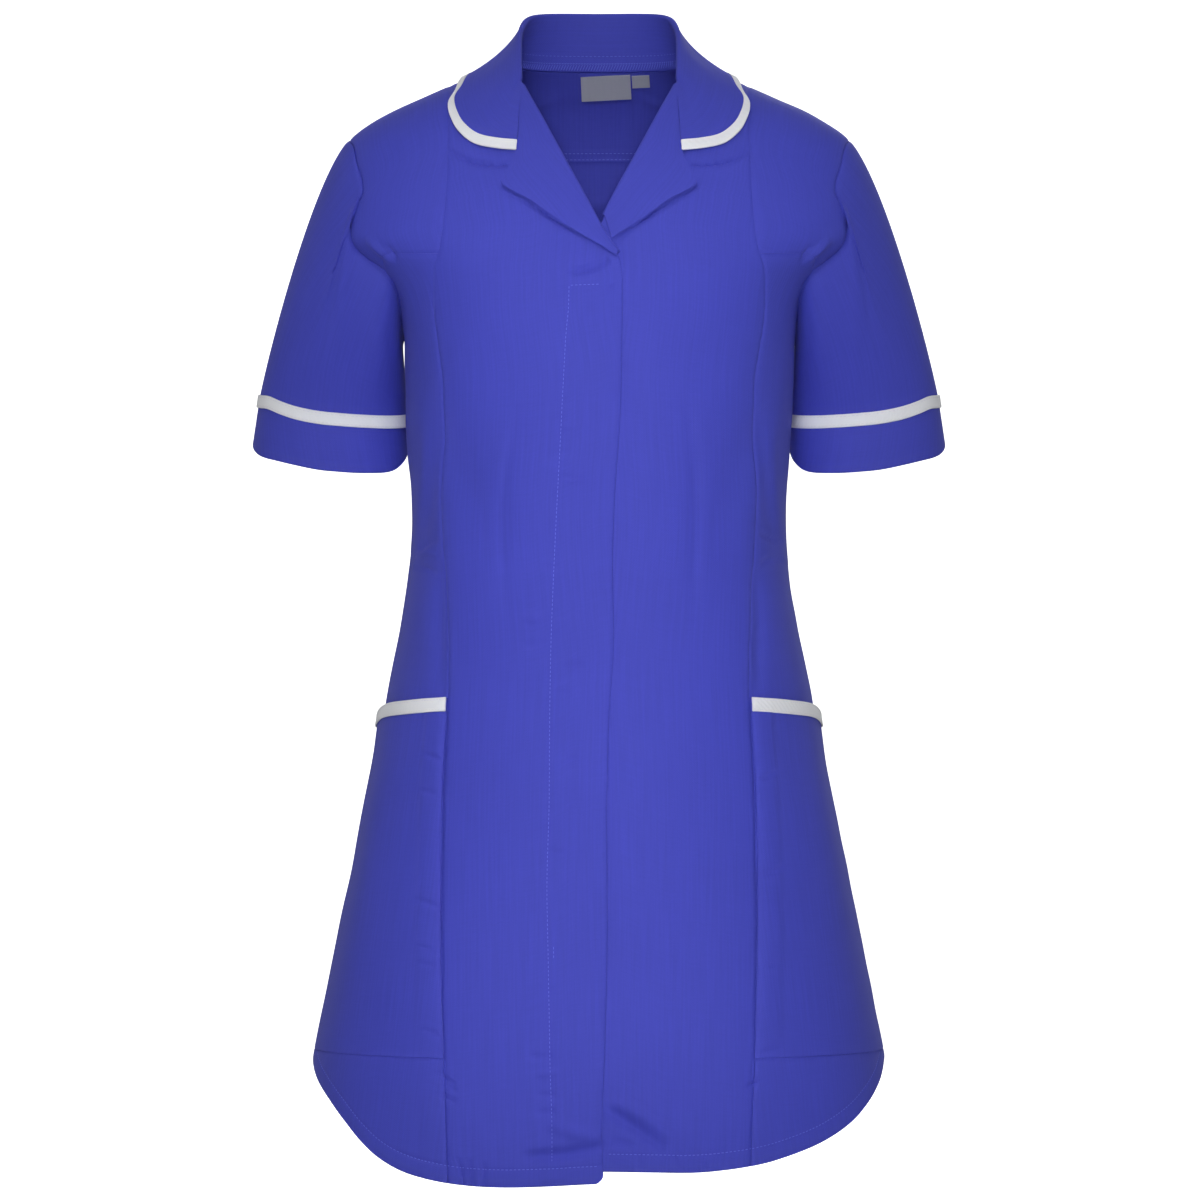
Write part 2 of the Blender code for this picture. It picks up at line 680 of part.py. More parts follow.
def turned_edge(place, forward, outward, inside=FOLD_INSIDE, steps=4):
    """Seen and hidden points of a half turn: from the garment's inside, over, to its outside."""
    turn = np.linspace(-math.pi / 2, math.pi / 2, steps + 1)[:, None]
    ray = np.cos(turn) * forward + np.sin(turn) * outward
    centre = place + inside * outward
    return centre + (inside + CLOTH) * ray, centre + inside * ray


def bezier(start, pull, push, end, share):
    """Cubic curve and its slope at the given shares of its length."""
    t = np.asarray(share)[:, None]
    point = (1 - t) ** 3 * start + 3 * t * (1 - t) ** 2 * pull + 3 * t * t * (1 - t) * push + t**3 * end
    slope = (1 - t) ** 2 * (pull - start) + 2 * t * (1 - t) * (push - pull) + t * t * (end - push)
    return point, unit(slope)


def fall_curve(start, outward, row, shares):
    """The collar's fall: off the fold, over and down to its edge, which lies along the body."""
    edge_angle, edge_height = row[4:]
    end = on_form(edge_angle, edge_height, COLLAR_LIFT)
    normal = form_normal(edge_angle, edge_height)
    reach = end - start
    third = np.linalg.norm(reach) / 3
    leave = unit(reach - (reach @ outward) * outward)
    inward = -unit(reach - (reach @ normal) * normal)
    return bezier(start, start + third * leave, end + third * inward, end, shares)


def neck_line():
    """Places and points of the panels' neck edge, from the gorge round to the centre back."""
    front = front_chart(right=True)[: YOKE_ROWS[0] + 1, 0][::-1]
    top = back_yoke_chart()[0, SHOULDER_COLUMNS : SHOULDER_COLUMNS + NECK_COLUMNS // 2 + 1]
    places = np.concatenate([front, top[1:]])
    return places, on_form(places[:, 0], places[:, 1])


def neck_point(angle):
    """Point of the neck edge at an angle, on the chord between the panels' own points."""
    places, points = neck_line()
    return np.array([np.interp(angle, places[:, 0], points[:, axis]) for axis in range(3)])


def collar_frame(row):
    """Where the collar stands at one row, the way up its stand and the way out of its fold."""
    neck_angle = row[0]
    neck = neck_point(neck_angle)
    if neck_angle == COLLAR[0][0]:
        _, upward, outward = roll_frame(NECK[0][1])
        return neck, upward, outward, GORGE_STAND
    fold = np.array(row[1:4])
    normal = form_normal(neck_angle, float(neck_height(neck_angle)))
    upward = unit(fold - FOLD_INSIDE * normal - neck)
    outward = unit(normal - (normal @ upward) * upward)
    stand = (fold - neck) @ upward - NECK_GAP - FOLD_INSIDE - CLOTH
    return neck, upward, outward, max(stand, GORGE_STAND)


def collar_section(row, along):
    """Seen and hidden points of the stand, the fold and the fall at one row of the table.

    The fall is read at six shares: three on the way, both sides of the seam to the binding, and
    the outer edge.
    """
    neck, upward, outward, stand = collar_frame(row)
    foot = neck + NECK_GAP * upward
    stand_hidden = foot + np.array([0.0, 0.5])[:, None] * stand * upward
    fold_seen, fold_hidden = turned_edge(foot + stand * upward, upward, outward)
    reach = np.linalg.norm(on_form(row[4], row[5]) - fold_seen[-1])
    bound = 1 - BINDING_WIDTH / reach
    shares = np.array([0.25 * bound, 0.5 * bound, 0.75 * bound, bound - SEAM / reach, bound, 1.0])
    fall, slope = fall_curve(fold_seen[-1], outward, row, shares)
    under = unit(np.cross(slope, along))
    under = under * np.sign(-(under @ outward))[:, None]
    return (
        (stand_hidden - CLOTH * outward, stand_hidden),
        (fold_seen, fold_hidden),
        (fall, fall + CLOTH * under),
        under,
    )


def collar_sections():
    """The collar's sections from the gorge to the centre back."""
    edge = np.array([on_form(row[4], row[5]) for row in COLLAR])
    fold = np.array([row[1:4] for row in COLLAR])
    along = unit(np.gradient((edge + fold) / 2, axis=0))
    along[-1] = (-1, 0, 0)
    return [collar_section(row, direction) for row, direction in zip(COLLAR, along)]


def make_collar():
    raised = (BINDING_THICKNESS - CLOTH) / 2
    faces = [[], [], [], []]
    for stand, fold, fall, under in collar_sections():
        for face in (0, 1):
            faces[face].append(np.concatenate([stand[face], fold[face], fall[face][:4]]))
        faces[2].append(fall[0][4:] - raised * under[4:])
        faces[3].append(fall[1][4:] + raised * under[4:])
    halves = [np.array(face) for face in faces]
    seen, hidden, bound_seen, bound_hidden = (
        np.concatenate([half, half[-2::-1] * (-1, 1, 1)]) for half in halves
    )
    ends = ("top", "bottom")
    wall("collar", *drawn_in(seen, hidden, ends, SEAM), BLUE)
    wall("collar_binding", *drawn_in(bound_seen, bound_hidden, ends, 2 * SEAM), WHITE)


def roll_frame(height, dip=0.0, step=0.004):
    """Point of the roll line, the way across it towards the centre, and the form's normal."""
    top = min(height + step, NECK[0][1])
    ends = [on_form(front_edge(level), level) for level in (height - step, top)]
    angle = float(front_edge(height))
    normal = form_normal(angle, height)
    forward = unit(np.cross(normal, ends[1] - ends[0]))
    return on_form(angle, height, dip), forward, normal


def gorge_section():
    """The lapel's upper edge: the section of the collar's front end, which it is sewn to."""
    _, fold, fall, _ = collar_sections()[0]
    kept = [0, 1, 2, 4, 5]
    return tuple(np.concatenate([fold[face], fall[face][kept]]) for face in (0, 1))


def lapel_section(roll_height, edge_x, edge_height, dip):
    """Seen and hidden points of the lapel from its roll line to its outer edge."""
    place, forward, normal = roll_frame(roll_height, dip)
    roll_x = float(smooth(FRONT_EDGE, 1, roll_height))
    turn_seen, turn_hidden = turned_edge(place + SEAM * forward, forward, normal)
    shares = np.linspace(0, 1, LAPEL_SPANS + 1)[1:]
    height = roll_height + shares * (edge_height - roll_height)
    angle = front_angle(roll_x + shares * (edge_x - roll_x), height)
    flat_seen = on_form(angle, height, LAPEL_LIFT + dip)
    flat_hidden = on_form(angle, height, LAPEL_LIFT - CLOTH + dip)
    return np.concatenate([turn_seen, flat_seen]), np.concatenate([turn_hidden, flat_hidden])


def make_lapel(name, rows, side):
    sections = [gorge_section()]
    for roll_height, edge_x, edge_height in rows[1:]:
        place = np.array([float(front_edge(roll_height)), roll_height])
        dip = float(overlap_dip(place)) if side == LEFT else 0.0
        sections.append(lapel_section(roll_height, edge_x, edge_height, dip))
    seen, hidden = (np.array([section[face] for section in sections]) for face in (0, 1))
    wall(name, seen, hidden, BLUE, side)


def armhole_ring():
    """The armhole's places, from the shoulder seam down the front, under and up the back."""
    yoke, side = front_yoke_chart(), side_front_chart(right=True)
    back, back_yoke = back_chart(), back_yoke_chart()
    front_down = np.concatenate([yoke[:, -1], side[0, SHOULDER_COLUMNS + 1 :]])
    back_up = np.concatenate([back[: BACK_ARMHOLE_ROWS + 1, 0][::-1], back_yoke[:, 0][::-1][1:]])
    return np.concatenate([front_down, back_up[1:-1]])


def ring_point(centre, half, turn, height):
    power = 2 / SLEEVE_ROUNDNESS
    x = centre[0] + half[0] * signed_power(np.cos(turn), power)
    y = centre[1] - half[1] * signed_power(np.sin(turn), power)
    return np.stack([x, y, height], axis=-1)


def sleeve_turns(ring):
    """Turn round the sleeve of each armhole point, by its share of the way down each half."""
    length = np.concatenate([[0], np.cumsum(np.linalg.norm(np.diff(ring, axis=0), axis=1))])
    total = length[-1] + np.linalg.norm(ring[0] - ring[-1])
    foot = int(np.argmin(ring[:, 2]))
    front = 180 * length / length[foot]
    behind = 180 + 180 * (length - length[foot]) / (total - length[foot])
    return np.radians(np.where(length <= length[foot], front, behind))


def leave_direction(turn):
    """The sleeve's direction at the armhole: a blend of the four named ones."""
    top, front, foot, back = map(np.array, (LEAVE_TOP, LEAVE_FRONT, LEAVE_FOOT, LEAVE_BACK))
    up, fore = np.cos(turn)[:, None], np.sin(turn)[:, None]
    mixed = np.where(up > 0, up**2 * top, up**2 * foot) + np.where(fore > 0, fore**2 * front, fore**2 * back)
    return unit(mixed)


def tube_normals(grid):
    """Outward normals of a tube whose columns run round it."""
    round_tube = np.roll(grid, -1, axis=1) - np.roll(grid, 1, axis=1)
    down_tube = np.gradient(grid, axis=0)
    return unit(np.cross(round_tube, down_tube))


def make_sleeve(name, side):
    """Sleeve from the armhole to the cuff seam, cuff from there to the hem, trim over the seam."""
    chart = armhole_ring()
    ring = on_form(chart[:, 0], chart[:, 1])
    turn = sleeve_turns(ring)
    degrees = np.degrees(turn)
    leave = leave_direction(turn)
    normal = form_normal(chart[:, 0], chart[:, 1])
    away = unit(np.cross(normal, np.roll(ring, -1, axis=0) - np.roll(ring, 1, axis=0)))
    start = ring + 1.5 * SEAM * away + SEAM * normal
    trim_top = smooth(CUFF, 1, degrees)
    hem_height = smooth(CUFF, 2, degrees)
    trim_ring = ring_point(SLEEVE_CENTRE, SLEEVE_HALF, turn, trim_top)
    hem_ring = ring_point(HEM_CENTRE, HEM_HALF, turn, hem_height)
    down = unit(hem_ring - trim_ring)
    cuff_seam = trim_ring + CUFF_TRIM_WIDTH / 2 * down
    pull = (PULL_TOP + PULL_FOOT) / 2 + (PULL_TOP - PULL_FOOT) / 2 * np.cos(turn)
    pull = pull[:, None]
    half_trim = CUFF_TRIM_WIDTH / 2
    t = np.linspace(0, 1, SLEEVE_SPANS + 1)[:, None, None] * (1 - half_trim / PULL_CUFF)
    t = np.concatenate([t, [[[1.0]]]])
    sleeve = (
        start * (1 + 2 * t) * (1 - t) ** 2
        + pull * leave * t * (1 - t) ** 2
        + cuff_seam * t * t * (3 - 2 * t)
        - PULL_CUFF * down * t * t * (1 - t)
    )
    outward = tube_normals(sleeve)
    wall("sleeve_" + name, sleeve, sleeve - CLOTH * outward, BLUE, side, closed_ring=True)
    cuff_length = np.linalg.norm(hem_ring - cuff_seam, axis=1)[:, None]
    trim_share = half_trim / cuff_length
    shares = np.stack([0 * trim_share, trim_share, (1 + trim_share) / 2, 1 + 0 * trim_share])
    cuff = cuff_seam + SEAM * down + (hem_ring - cuff_seam - SEAM * down) * shares
    wall("cuff_" + name, cuff, cuff - CLOTH * outward[-1], BLUE, side, closed_ring=True)
    band = np.stack([sleeve[-2], sleeve[-1], cuff[1]])
    band_out = np.stack([outward[-2], outward[-1], outward[-1]])
    trim = band + REST_GAP * band_out
    wall("cuff_trim_" + name, trim + CLOTH * band_out, trim, WHITE, side, closed_ring=True)


def make_label(name, size):
    """A bare woven label, flat against the inside of the back below the neck seam."""
    first_x, last_x, top, bottom = size
    x = np.linspace(first_x, last_x, 4)
    height = np.linspace(top, bottom, 3)[:, None]
    angle = 180 - front_angle(x[None, :] + 0 * height, height + 0 * x)
    chart = np.stack([angle, height + 0 * angle], axis=-1)
    seen, hidden = lifted(chart, LABEL_LIFT, LABEL_THICKNESS)
    wall(name, seen, hidden, GREY)


def main():
    clear_scene()
    make_fronts()
    make_back()
    for name, side in (("right", RIGHT), ("left", LEFT)):
        make_side_panels(name, side)
        make_sleeve(name, side)
    make_lapel("lapel_right", LAPEL, RIGHT)
    make_lapel("lapel_left", LAPEL[:7] + (LEFT_LAPEL_END,), LEFT)
    make_collar()
    make_label("label_main", MAIN_LABEL)
    make_label("label_size", SIZE_LABEL)


main()
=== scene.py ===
"""The looks of a short-sleeved maternity tunic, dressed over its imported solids.

Every piece is a thin shell of cloth on the form of the solid that it replaces. A place on the
body is a pair (angle, height): the angle runs from the centre front, 0, past the side or the
shoulder seam, 90, to the centre back, 180. Pieces are worked out for the wearer's left, +X, and
those of the right are mirrored.
"""

from __future__ import annotations

import logging
import math
from dataclasses import dataclass, field
from enum import Enum
from typing import Callable, Iterable, Sequence

import bpy
import numpy as np
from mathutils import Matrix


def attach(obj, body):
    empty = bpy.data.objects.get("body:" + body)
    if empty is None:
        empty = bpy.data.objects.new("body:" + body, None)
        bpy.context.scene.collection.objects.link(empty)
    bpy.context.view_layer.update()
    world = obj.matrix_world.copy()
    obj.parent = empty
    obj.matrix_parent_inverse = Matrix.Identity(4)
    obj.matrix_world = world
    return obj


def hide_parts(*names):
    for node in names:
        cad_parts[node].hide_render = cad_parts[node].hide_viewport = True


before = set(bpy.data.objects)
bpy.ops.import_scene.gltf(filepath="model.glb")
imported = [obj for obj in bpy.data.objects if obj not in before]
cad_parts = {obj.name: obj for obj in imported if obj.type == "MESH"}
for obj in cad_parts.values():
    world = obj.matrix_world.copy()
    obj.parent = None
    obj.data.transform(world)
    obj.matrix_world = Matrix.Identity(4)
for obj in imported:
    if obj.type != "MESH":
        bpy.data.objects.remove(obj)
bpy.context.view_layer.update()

Array = np.ndarray
Table = Sequence[Sequence[float]]
Pair = tuple[float, float]

CLOTH = 0.0012  # thickness of every cloth wall
SEAM = 0.0003  # gap between two edges that are sewn together
REST_GAP = 0.0003  # gap under a piece that lies on a panel
ROUNDNESS = 2.3  # exponent of the level sections: 2 is an ellipse, more is squarer

# The level sections of the body.
SECTIONS = (
    # height, half_width, front_depth, back_depth
    (0.020, 0.048, 0.014, 0.047),
    (0.012, 0.058, 0.022, 0.052),
    (0.008, 0.068, 0.030, 0.057),
    (0.002, 0.084, 0.038, 0.061),
    (-0.004, 0.0995, 0.046, 0.065),
    (-0.009, 0.1113, 0.052, 0.068),
    (-0.017, 0.130, 0.061, 0.073),
    (-0.026, 0.151, 0.069, 0.078),
    (-0.035, 0.168, 0.076, 0.082),
    (-0.049, 0.187, 0.085, 0.087),
    (-0.065, 0.196, 0.092, 0.092),
    (-0.085, 0.200, 0.099, 0.096),
    (-0.110, 0.202, 0.108, 0.099),
    (-0.128, 0.199, 0.113, 0.100),
    (-0.142, 0.182, 0.117, 0.101),
    (-0.158, 0.162, 0.121, 0.101),
    (-0.175, 0.1515, 0.124, 0.100),
    (-0.195, 0.1470, 0.1265, 0.098),
    (-0.220, 0.1460, 0.129, 0.095),
    (-0.256, 0.1450, 0.131, 0.0915),
    (-0.285, 0.1433, 0.133, 0.0885),
    (-0.310, 0.1408, 0.134, 0.087),
    (-0.345, 0.1403, 0.1375, 0.088),
    (-0.380, 0.1433, 0.142, 0.091),
    (-0.410, 0.1480, 0.145, 0.095),
    (-0.440, 0.1540, 0.148, 0.099),
    (-0.470, 0.1600, 0.1505, 0.1035),
    (-0.510, 0.1655, 0.153, 0.109),
    (-0.560, 0.1750, 0.1565, 0.116),
    (-0.620, 0.1872, 0.160, 0.124),
    (-0.680, 0.2007, 0.1635, 0.131),
    (-0.735, 0.2130, 0.167, 0.137),
    (-0.790, 0.2235, 0.170, 0.142),
    (-0.850, 0.2345, 0.1735, 0.147),
)
# The largest soft folds, on both sides.
FOLDS = (
    # angle, height, half_run, drift, half_width, depth
    (42.0, -0.310, 0.085, 16.0, 9.0, -0.0028),
    (54.0, -0.300, 0.080, 14.0, 8.0, 0.0018),
    (66.0, -0.600, 0.180, 4.0, 9.0, 0.0016),
    (128.0, -0.340, 0.130, -10.0, 11.0, -0.0034),
    (150.0, -0.400, 0.150, -6.0, 11.0, 0.0026),
    (166.0, -0.360, 0.120, 5.0, 9.0, -0.0026),
    (118.0, -0.640, 0.190, -6.0, 12.0, -0.0040),
    (142.0, -0.690, 0.170, 6.0, 12.0, 0.0036),
    (168.0, -0.650, 0.200, 3.0, 10.0, -0.0030),
)
NECK = (
    # angle, height
    (25.0, -0.0130),
    (39.0, -0.0055),
    (53.0, 0.0005),
    (68.0, 0.0045),
    (90.0, 0.0080),
    (112.0, 0.0071),
    (140.0, 0.0060),
    (180.0, 0.0053),
)
# The front's free edge: down the roll line to the break, then down the overlap.
FRONT_EDGE = (
    # height, x
    (-0.0130, 0.0572),
    (-0.0370, 0.0442),
    (-0.0620, 0.0308),
    (-0.0850, 0.0183),
    (-0.1080, 0.0060),
    (-0.1310, -0.0070),
    (-0.1400, -0.0138),
    (-0.1500, -0.0161),
    (-0.1650, -0.0171),
    (-0.2000, -0.0166),
    (-0.2600, -0.0153),
    (-0.3200, -0.0112),
    (-0.3600, -0.0098),
    (-0.4380, -0.0100),
    (-0.4750, -0.0072),
    (-0.5300, -0.0057),
    (-0.6600, -0.0055),
    (-0.7300, -0.0036),
    (-0.7750, -0.0020),
    (-0.8250, -0.0030),
)
PRINCESS_SEAM = (
    # height, x
    (-0.0090, 0.1113),
    (-0.0620, 0.1123),
    (-0.0900, 0.1134),
    (-0.1070, 0.1145),
    (-0.1240, 0.1162),
    (-0.1380, 0.1190),
    (-0.1465, 0.1219),
    (-0.1660, 0.1232),
    (-0.1850, 0.1226),
    (-0.2060, 0.1194),
    (-0.2290, 0.1160),
    (-0.2580, 0.1157),
    (-0.3410, 0.1162),
    (-0.4030, 0.1128),
    (-0.4310, 0.1112),
    (-0.4740, 0.1116),
    (-0.5280, 0.1140),
    (-0.6170, 0.1157),
    (-0.7030, 0.1143),
    (-0.8220, 0.1105),
)
ARMHOLE = (
    # height, front, back
    (-0.0490, 0.000, 0.000),
    (-0.0550, 0.0310, 0.0270),
    (-0.0730, 0.0480, 0.0420),
    (-0.0860, 0.0552, 0.0490),
    (-0.0950, 0.0572, 0.0523),
    (-0.1020, 0.0541, 0.0541),
    (-0.1100, 0.0524, 0.0555),
    (-0.1230, 0.0535, 0.0560),
    (-0.1390, 0.0508, 0.0545),
    (-0.1500, 0.0540, 0.0520),
    (-0.1630, 0.0455, 0.0440),
    (-0.1780, 0.0285, 0.0290),
    (-0.1870, 0.0150, 0.0155),
    (-0.1920, 0.000, 0.000),
)
HEM = (
    # angle, right, other
    (-8.0, -0.8190, -0.8100),
    (0.0, -0.8192, -0.8102),
    (7.0, -0.8210, -0.8108),
    (15.5, -0.8220, -0.8112),
    (22.0, -0.8210, -0.8092),
    (29.0, -0.8178, -0.8055),
    (37.0, -0.8112, -0.7988),
    (43.0, -0.8028, -0.7930),
    (49.0, -0.7917, -0.7861),
    (56.0, -0.7776, -0.7770),
    (64.0, -0.7635, -0.7648),
    (73.0, -0.7507, -0.7507),
    (82.0, -0.7392, -0.7376),
    (90.0, -0.7330, -0.7330),
    (98.0, -0.7392, -0.7392),
    (110.0, -0.7620, -0.7620),
    (125.0, -0.7870, -0.7870),
    (145.0, -0.8050, -0.8050),
    (180.0, -0.8110, -0.8110),
)
COLLAR = (
    # neck_angle, fold_x, fold_y, fold_z, edge_angle, edge_height
    (25.0, 0.0566, -0.0518, -0.0112, 15.0, -0.0622),
    (31.0, 0.0570, -0.0472, -0.0055, 20.0, -0.0605),
    (39.0, 0.0574, -0.0400, 0.0010, 25.3, -0.0568),
    (50.0, 0.0577, -0.0285, 0.0095, 30.3, -0.0485),
    (62.0, 0.0580, -0.0155, 0.0182, 36.2, -0.0378),
    (76.0, 0.0583, -0.0015, 0.0268, 43.5, -0.0275),
    (90.0, 0.0578, 0.0120, 0.0348, 54.5, -0.0155),
    (105.0, 0.0552, 0.0245, 0.0418, 72.0, -0.0072),
    (120.0, 0.0508, 0.0360, 0.0464, 95.0, -0.0042),
    (135.0, 0.0428, 0.0465, 0.0488, 117.0, -0.0070),
    (150.0, 0.0308, 0.0540, 0.0497, 139.0, -0.0112),
    (165.0, 0.0158, 0.0585, 0.0500, 160.0, -0.0152),
    (180.0, 0.0000, 0.0600, 0.0500, 180.0, -0.0166),
)
LAPEL = (
    # roll_height, edge_x, edge_height
    (-0.0130, 0.0604, -0.0622),
    (-0.0370, 0.0656, -0.0735),
    (-0.0490, 0.0723, -0.0874),
    (-0.0620, 0.0630, -0.0932),
    (-0.0740, 0.0520, -0.0990),
    (-0.0870, 0.0390, -0.1082),
    (-0.1000, 0.0265, -0.1168),
    (-0.1140, 0.0105, -0.1268),
    (-0.1280, -0.0043, -0.1352),
    (-0.1350, -0.0098, -0.1392),
    (-0.1390, -0.0126, -0.1404),
)
CUFF = (
    # turn, trim_top, hem
    (0.0, -0.2395, -0.2760),
    (20.0, -0.2405, -0.2830),
    (35.0, -0.2415, -0.2865),
    (50.0, -0.2455, -0.2890),
    (65.0, -0.2495, -0.2920),
    (90.0, -0.2540, -0.2970),
    (115.0, -0.2558, -0.2985),
    (145.0, -0.2558, -0.2955),
    (160.0, -0.2550, -0.2890),
    (180.0, -0.2530, -0.2770),
    (225.0, -0.2490, -0.2730),
    (270.0, -0.2440, -0.2720),
    (315.0, -0.2410, -0.2735),
    (360.0, -0.2395, -0.2760),
)
POCKET_MOUTH = (
    # share of the way to the side seam, height
    (0.0, -0.4660),
    (0.35, -0.4690),
    (0.7, -0.4730),
    (1.0, -0.4805),
)

# Creases of the front, in millimetres. A depth below 0 is a trough, and one above 0 a ridge. The
# line goes through (x, height); side -1 is the wearer's right, 1 the left, and 0 both, with x out.
FRONT_CREASES = (
    # side, depth, width, line
    (-1, -0.8, 2.6, (8, -143), (-6, -150), (-22, -153)),
    (-1, -0.5, 1.4, (12, -164), (4, -165)),
    (-1, 0.8, 5.0, (-36, -778), (-16, -783), (2, -786)),
    (-1, -0.9, 4.0, (-56, -800), (-28, -798), (6, -792)),
    (1, -0.6, 3.5, (6, -791), (14, -790), (25, -793)),
    (-1, -0.5, 1.8, (-104, -801), (-101, -812), (-99, -826)),
    (-1, -0.4, 1.6, (-95, -802), (-93, -826)),
    (-1, -0.5, 1.8, (-84, -804), (-85, -827)),
    (-1, -0.5, 1.8, (-118, -740), (-105, -749)),
    (-1, -0.4, 1.5, (-114, -747), (-104, -754)),
    (-1, 0.30, 1.8, (-11, -158), (-11, -195), (-12, -226)),
    (-1, -0.35, 2.6, (-32, -268), (-25, -271), (-16, -270)),
    (-1, 0.30, 3.0, (-30, -290), (-22, -292)),
    (-1, -0.40, 2.4, (-28, -303), (-19, -306), (-10, -304)),
    (-1, -0.35, 3.2, (-42, -369), (-34, -371), (-26, -369)),
    (-1, 0.35, 3.4, (-54, -405), (-45, -408), (-36, -404)),
    (-1, -0.40, 3.0, (-56, -428), (-47, -427), (-38, -424)),
    (-1, -0.35, 2.6, (-25, -443), (-18, -441), (-10, -442)),
    (-1, 0.30, 2.8, (-31, -456), (-23, -458), (-14, -459)),
    (-1, -0.35, 3.0, (-29, -513), (-20, -511), (-12, -514)),
    (-1, -0.30, 2.6, (-38, -577), (-30, -579), (-24, -577)),
    (-1, -0.35, 2.6, (-52, -726), (-44, -728), (-34, -727)),
    (-1, 0.35, 2.4, (-44, -741), (-36, -739), (-28, -738)),
    (-1, -0.35, 2.2, (-46, -756), (-39, -755), (-31, -757)),
    (-1, -0.30, 2.4, (-47, -769), (-40, -768), (-32, -767)),
    (1, -1.1, 3.6, (4, -765), (23, -776), (48, -794)),
    (1, 0.6, 4.0, (12, -758), (32, -770), (58, -789)),
    (1, -0.4, 2.0, (56, -794), (64, -812)),
    (1, -0.4, 1.8, (77, -798), (78, -816)),
    (1, -0.3, 1.8, (29, -797), (31, -816)),
    (-1, -0.35, 6.0, (-117, -256), (-124, -312), (-136, -372)),
    (1, -0.3, 6.0, (118, -250), (123, -308), (135, -366)),
    (-1, 0.3, 4.0, (-127, -268), (-132, -318), (-140, -360)),
    (1, 0.3, 4.5, (126, -262), (131, -322), (139, -368)),
    (-1, -0.5, 1.8, (-135, -356), (-128, -352), (-119, -349)),
    (-1, 0.4, 1.8, (-137, -362), (-129, -359), (-119, -361)),
    (-1, -0.4, 1.8, (-138, -369), (-130, -370), (-121, -374)),
    (1, -0.5, 1.8, (137, -350), (128, -348), (119, -344)),
    (1, -0.4, 2.0, (138, -364), (129, -363), (120, -367)),
    (0, -0.6, 5.0, (117, -368), (118, -424), (116, -470)),
    (0, 0.8, 2.4, (172, -126), (163, -134), (153, -144)),
    (0, -0.8, 1.1, (58, -97), (43, -107), (28, -117), (13, -128)),
    (0, -0.6, 1.1, (73, -89), (66, -93), (57, -98)),
    (0, -0.7, 1.3, (112, -60), (100, -68), (84, -72), (62, -72)),
    (0, -0.5, 1.2, (157, -132), (153, -138), (150, -144)),
    (-1, -0.4, 1.5, (-130, -660), (-118, -663)),
    (1, -0.4, 1.5, (129, -662), (121, -661)),
    (-1, -0.4, 2.0, (-128, -507), (-122, -509), (-114, -512)),
    (-1, -0.4, 1.8, (-130, -534), (-117, -538)),
    (1, -0.4, 2.0, (129, -521), (116, -526)),
    (-1, -0.4, 2.0, (-134, -614), (-127, -616), (-116, -620)),
    (1, -0.4, 2.0, (134, -590), (126, -594), (116, -596)),
    (-1, -0.4, 1.8, (-132, -648), (-118, -653)),
    (-1, -0.4, 2.0, (-128, -709), (-115, -714)),
    (1, -0.4, 2.0, (131, -722), (117, -727)),
    (1, -0.5, 1.8, (119, -745), (107, -751)),
    (-1, -0.4, 1.8, (-116, -755), (-104, -762)),
    (-1, -0.3, 5.0, (-60, -250), (-72, -330), (-66, -420)),
    (1, -0.3, 5.0, (64, -240), (72, -320), (68, -410)),
)
# Creases of the sides and the back, with the angle of each place going round to the wearer's
# right side seam at 270. Depth, width and height are in millimetres.
ROUND_CREASES = (
    # depth, width, line
    (-1.6, 7.0, (98, -296), (111, -380), (118, -474)),
    (1.1, 5.5, (262, -306), (252, -390), (243, -452)),
    (-1.3, 7.0, (232, -196), (226, -290), (230, -384)),
    (-1.5, 3.4, (170, -8), (162, -20), (153, -26)),
    (-1.2, 3.2, (188, -8), (197, -18), (206, -24)),
    (-1.2, 6.0, (138, -104), (146, -180), (151, -262)),
    (0.9, 5.0, (208, -96), (204, -160), (199, -238)),
    (-1.2, 8.0, (172, -330), (166, -430), (170, -560)),
    (1.0, 6.0, (193, -356), (187, -452), (194, -548)),
    (-1.3, 7.0, (150, -520), (157, -640), (153, -772)),
    (-1.2, 7.0, (221, -536), (214, -662), (219, -778)),
    (0.8, 5.0, (176, -600), (181, -700), (178, -790)),
    (-0.6, 2.4, (92, -228), (97, -236), (104, -241)),
    (-0.5, 2.2, (266, -236), (259, -247), (252, -250)),
    (-0.5, 2.2, (93, -256), (101, -262)),
    (-0.5, 2.0, (119, -768), (121, -790)),
    (-0.4, 2.0, (137, -786), (138, -806)),
    (-0.5, 2.0, (166, -792), (165, -812)),
    (-0.4, 2.0, (196, -790), (197, -812)),
    (-0.5, 2.2, (229, -782), (227, -802)),
    (-0.4, 2.0, (246, -756), (244, -776)),
    (-0.5, 3.0, (172, -18), (166, -34), (162, -52)),
    (0.4, 3.0, (187, -16), (193, -32), (196, -50)),
    (-0.8, 4.5, (160, -64), (170, -82), (186, -96)),
    (0.6, 4.0, (200, -66), (190, -88), (176, -108)),
)
# Creases of the sleeves, by the turn round them and how far down they lie, in millimetres.
SLEEVE_CREASES = (
    # side, depth, width, line
    (0, -0.3, 7.0, (70, 50), (84, 100), (96, 170)),
    (0, 0.3, 7.0, (104, 60), (112, 120), (124, 176)),
    (-1, -0.3, 6.0, (34, 60), (42, 120), (40, 180)),
    (1, -0.3, 6.0, (40, 50), (46, 110), (38, 170)),
    (0, -0.4, 6.0, (128, 60), (138, 100), (146, 150)),
    (0, -0.5, 3.0, (150, 14), (158, 34), (166, 60)),
    (-1, -1.0, 6.0, (250, 40), (262, 100), (258, 170)),
    (1, -1.1, 6.5, (262, 36), (272, 96), (268, 160)),
    (0, 0.8, 6.0, (300, 50), (306, 110), (300, 172)),
    (0, 1.6, 10.0, (172, 6), (182, 20), (196, 44)),
)

